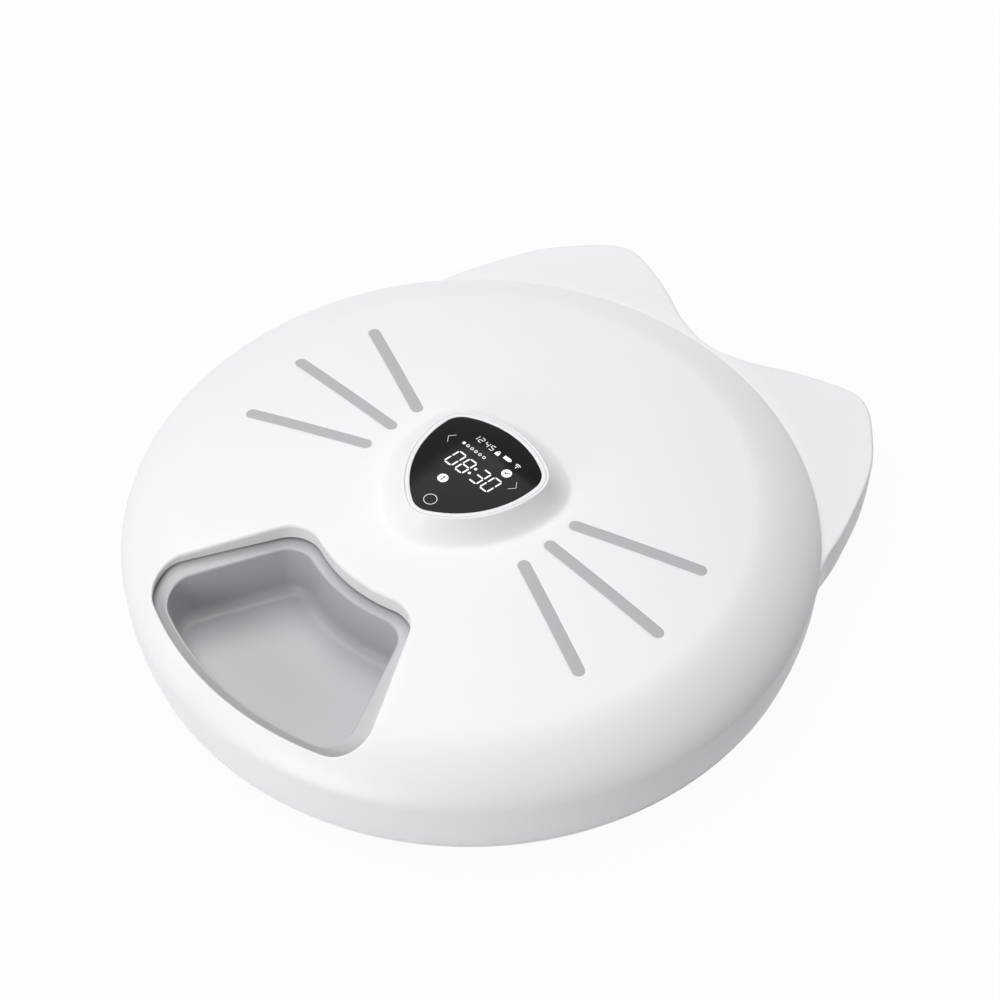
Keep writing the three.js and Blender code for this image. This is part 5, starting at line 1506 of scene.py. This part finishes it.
# %% [markdown]
# Screws and feet repeat, so Geometry Nodes make them. The first nodes of their trees turn a part from a list
# of steps. Each step pulls the top face up and gives it a new radius, as a lathe works along a bar. The
# sizes are named inputs of the tree, so that one way of building serves screws of several lengths.

# %% A tree that turns a part
turn_merge = 0.001


def size_tree(name, sizes):
    """A tree with a geometry input, an output and a named input for each size in millimetres."""
    tree = bpy.data.node_groups.new(name, "GeometryNodeTree")
    tree.interface.new_socket("Geometry", in_out="INPUT", socket_type="NodeSocketGeometry")
    for size, value in sizes.items():
        socket = tree.interface.new_socket(size, in_out="INPUT", socket_type="NodeSocketFloat")
        socket.default_value = value * mm
    tree.interface.new_socket("Geometry", in_out="OUTPUT", socket_type="NodeSocketGeometry")
    return tree, add_node(tree, "NodeGroupInput").outputs


def turn_steps(tree, inputs, first, steps, sides):
    """Turn a closed solid upwards from a disc; a step is a rise and a new radius, each a share of a size."""
    size, share = first
    radius = add_node(tree, "ShaderNodeMath", {0: inputs[size], 1: share}, operation="MULTIPLY").outputs[0]
    start = add_node(tree, "GeometryNodeMeshCircle", {"Vertices": sides, "Radius": radius}, fill_type="NGON")
    solid, top = start.outputs[0], {}
    for rise_of, rise_share, radius_of, radius_share in steps:
        rise, new_radius = [
            add_node(tree, "ShaderNodeMath", {0: inputs[size], 1: share}, operation="MULTIPLY").outputs[0]
            for size, share in ((rise_of, rise_share), (radius_of, radius_share))
        ]
        offset = add_node(tree, "ShaderNodeCombineXYZ", {"Z": rise})
        pulled = add_node(tree, "GeometryNodeExtrudeMesh", {
            "Mesh": solid, "Offset": offset.outputs[0], "Individual": False, **top,
        }, mode="FACES")
        ratio = add_node(tree, "ShaderNodeMath", {0: new_radius, 1: radius}, operation="DIVIDE")
        top = {"Selection": pulled.outputs["Top"]}
        scaled = add_node(tree, "GeometryNodeScaleElements",
                          {"Geometry": pulled.outputs["Mesh"], "Scale": ratio.outputs[0], **top}, domain="FACE")
        solid, radius = scaled.outputs[0], new_radius
    under = add_node(tree, "GeometryNodeFlipFaces", {"Mesh": start.outputs[0]})
    both = add_node(tree, "GeometryNodeJoinGeometry", {"Geometry": solid})
    tree.links.new(under.outputs[0], both.inputs[0])
    merged = add_node(tree, "GeometryNodeMergeByDistance",
                      {"Geometry": both.outputs[0], "Distance": turn_merge * mm})
    return merged.outputs[0]


print("parts that are turned by nodes: screws and feet")

# %% [markdown]
# The last nodes set a copy on every point of a mesh of places. Realize Instances turns the copies into plain
# faces, because the export drops instances, and Set Material dresses them. The tree runs as a modifier, whose
# sizes are set by each socket's identifier, and its result is kept as a plain mesh.

# %% A part repeated on places
def repeat_on(tree, inputs, part, finish, turn):
    """Set a copy of a part on every point of the geometry input."""
    copies = add_node(tree, "GeometryNodeInstanceOnPoints",
                      {"Points": inputs["Geometry"], "Instance": part, "Rotation": (turn, 0, 0)})
    real = add_node(tree, "GeometryNodeRealizeInstances", {"Geometry": copies.outputs[0]})
    dressed = add_node(tree, "GeometryNodeSetMaterial", {"Geometry": real.outputs[0], "Material": finish})
    add_node(tree, "NodeGroupOutput", {"Geometry": dressed.outputs[0]})


def repeated(name, tree, places, sizes, nodes, body):
    """Run a tree on a mesh of places and keep the result as one plain piece that stands for its nodes."""
    mesh = bpy.data.meshes.new(name)
    mesh.from_pydata(places, [], [])
    piece = bpy.data.objects.new(name, mesh)
    bpy.context.scene.collection.objects.link(piece)
    step = piece.modifiers.new("repeat", "NODES")
    step.node_group = tree
    for item in tree.interface.items_tree:
        if item.name in sizes:
            step[item.identifier] = sizes[item.name] * mm
    mesh = baked(piece)
    outwards(mesh)
    smoothed(mesh)
    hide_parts(*nodes)
    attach(piece, body)
    print(name, "on", len(places), "places,", len(mesh.polygons), "faces")


def middle_at(node, end):
    """The middle of a node in plan, at its lowest (0) or highest (1) point."""
    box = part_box(node)
    return ((box[0][0] + box[1][0]) / 2, (box[0][1] + box[1][1]) / 2, box[end][2])


print("first screw stands at", [round(v / mm, 1) for v in middle_at("cover_screw_1", 0)], "mm")

# %% [markdown]
# A screw is turned from the top of its head down to its point. Its thread is drawn as rings, because its
# helix doesn't show at this size. A boolean cuts the cross slot. The cover's screws stand head down, and
# those of the motor and the board hang from their heads.

# %% Screws
thread_turns, thread_root, thread_share = 6, 0.8, 0.8
slot_reach, slot_sink = 1.2, 2.0  # the cutter's shares of head radius and slot depth; half lies outside


def screw_tree(name, turn):
    tree, inputs = size_tree(name, {"Head Radius": 2.8, "Head Height": 1.6, "Shank Radius": 1.4, "Length": 5.6,
                                    "Slot Width": 0.9, "Slot Depth": 0.8})
    steps = [
        ("Head Height", 0.06, "Head Radius", 0.93), ("Head Height", 0.09, "Head Radius", 0.98),
        ("Head Height", 0.15, "Head Radius", 1), ("Head Height", 0.7, "Head Radius", 1),
        ("Length", 0, "Shank Radius", 1), ("Length", 0.05, "Shank Radius", thread_root),
    ]
    for _ in range(thread_turns):
        steps += [("Length", thread_share / 2 / thread_turns, "Shank Radius", radius)
                  for radius in (1, thread_root)]
    steps += [("Length", 0.08, "Shank Radius", 0.7), ("Length", 0.07, "Shank Radius", 0.25)]
    part = turn_steps(tree, inputs, ("Head Radius", 0.8), steps, 32)
    reach, deep = [
        add_node(tree, "ShaderNodeMath", {0: inputs[size], 1: share}, operation="MULTIPLY").outputs[0]
        for size, share in (("Head Radius", slot_reach), ("Slot Depth", slot_sink))
    ]
    cut = add_node(tree, "GeometryNodeMeshBoolean", {"Mesh 1": part}, operation="DIFFERENCE", solver="EXACT")
    for x, y in ((reach, inputs["Slot Width"]), (inputs["Slot Width"], reach)):
        size = add_node(tree, "ShaderNodeCombineXYZ", {"X": x, "Y": y, "Z": deep})
        cutter = add_node(tree, "GeometryNodeMeshCube", {"Size": size.outputs[0]})
        tree.links.new(cutter.outputs[0], cut.inputs["Mesh 2"])
    repeat_on(tree, inputs, cut.outputs[0], zinc_steel, turn)
    return tree


for name, turn, end, length, count, body in (
    ("cover_screw", 0, 0, 5.6, 6, "base"), ("motor_screw", math.pi, 1, 6, 2, "base"),
    ("board_screw", math.pi, 1, 5, 4, "base"),
):
    nodes = [f"{name}_{i + 1}" for i in range(count)]
    repeated(f"{name}s_fine", screw_tree(name.replace("_", " "), turn),
             [middle_at(node, end) for node in nodes], {"Length": length}, nodes, body)

# %% [markdown]
# The six feet are rubber pads pressed into seats of the cover. A pad has a soft rounded edge, and a shallow
# dish in its face that lets it grip like a sucker. The same steps turn it, from the flat back that sits in
# the cover out to the face that stands on the floor.

# %% Feet
pad_sizes = {"Radius": 7, "Height": 3}
pad_side_share, pad_edge_share, pad_edge_steps, pad_sides = 0.73, 0.115, 5, 48
foot_tree, foot_inputs = size_tree("rubber foot", pad_sizes)
pad_steps = [("Height", pad_side_share, "Radius", 1)]
for i in range(1, pad_edge_steps + 1):
    before, bend = (math.pi / 2 * k / pad_edge_steps for k in (i - 1, i))
    pad_steps.append(("Radius", pad_edge_share * (math.sin(bend) - math.sin(before)),
                      "Radius", 1 - pad_edge_share * (1 - math.cos(bend))))
pad_steps += [("Height", 0, "Radius", 0.72), ("Height", -0.06, "Radius", 0.66), ("Height", -0.1, "Radius", 0.5)]
pad = turn_steps(foot_tree, foot_inputs, ("Radius", 1), pad_steps, pad_sides)
repeat_on(foot_tree, foot_inputs, pad, foot_rubber, math.pi)
foot_nodes = [f"foot_{i + 1}" for i in range(len(foot_places))]
repeated("feet_fine", foot_tree, [middle_at(node, 1) for node in foot_nodes], pad_sizes, foot_nodes,
         "base")
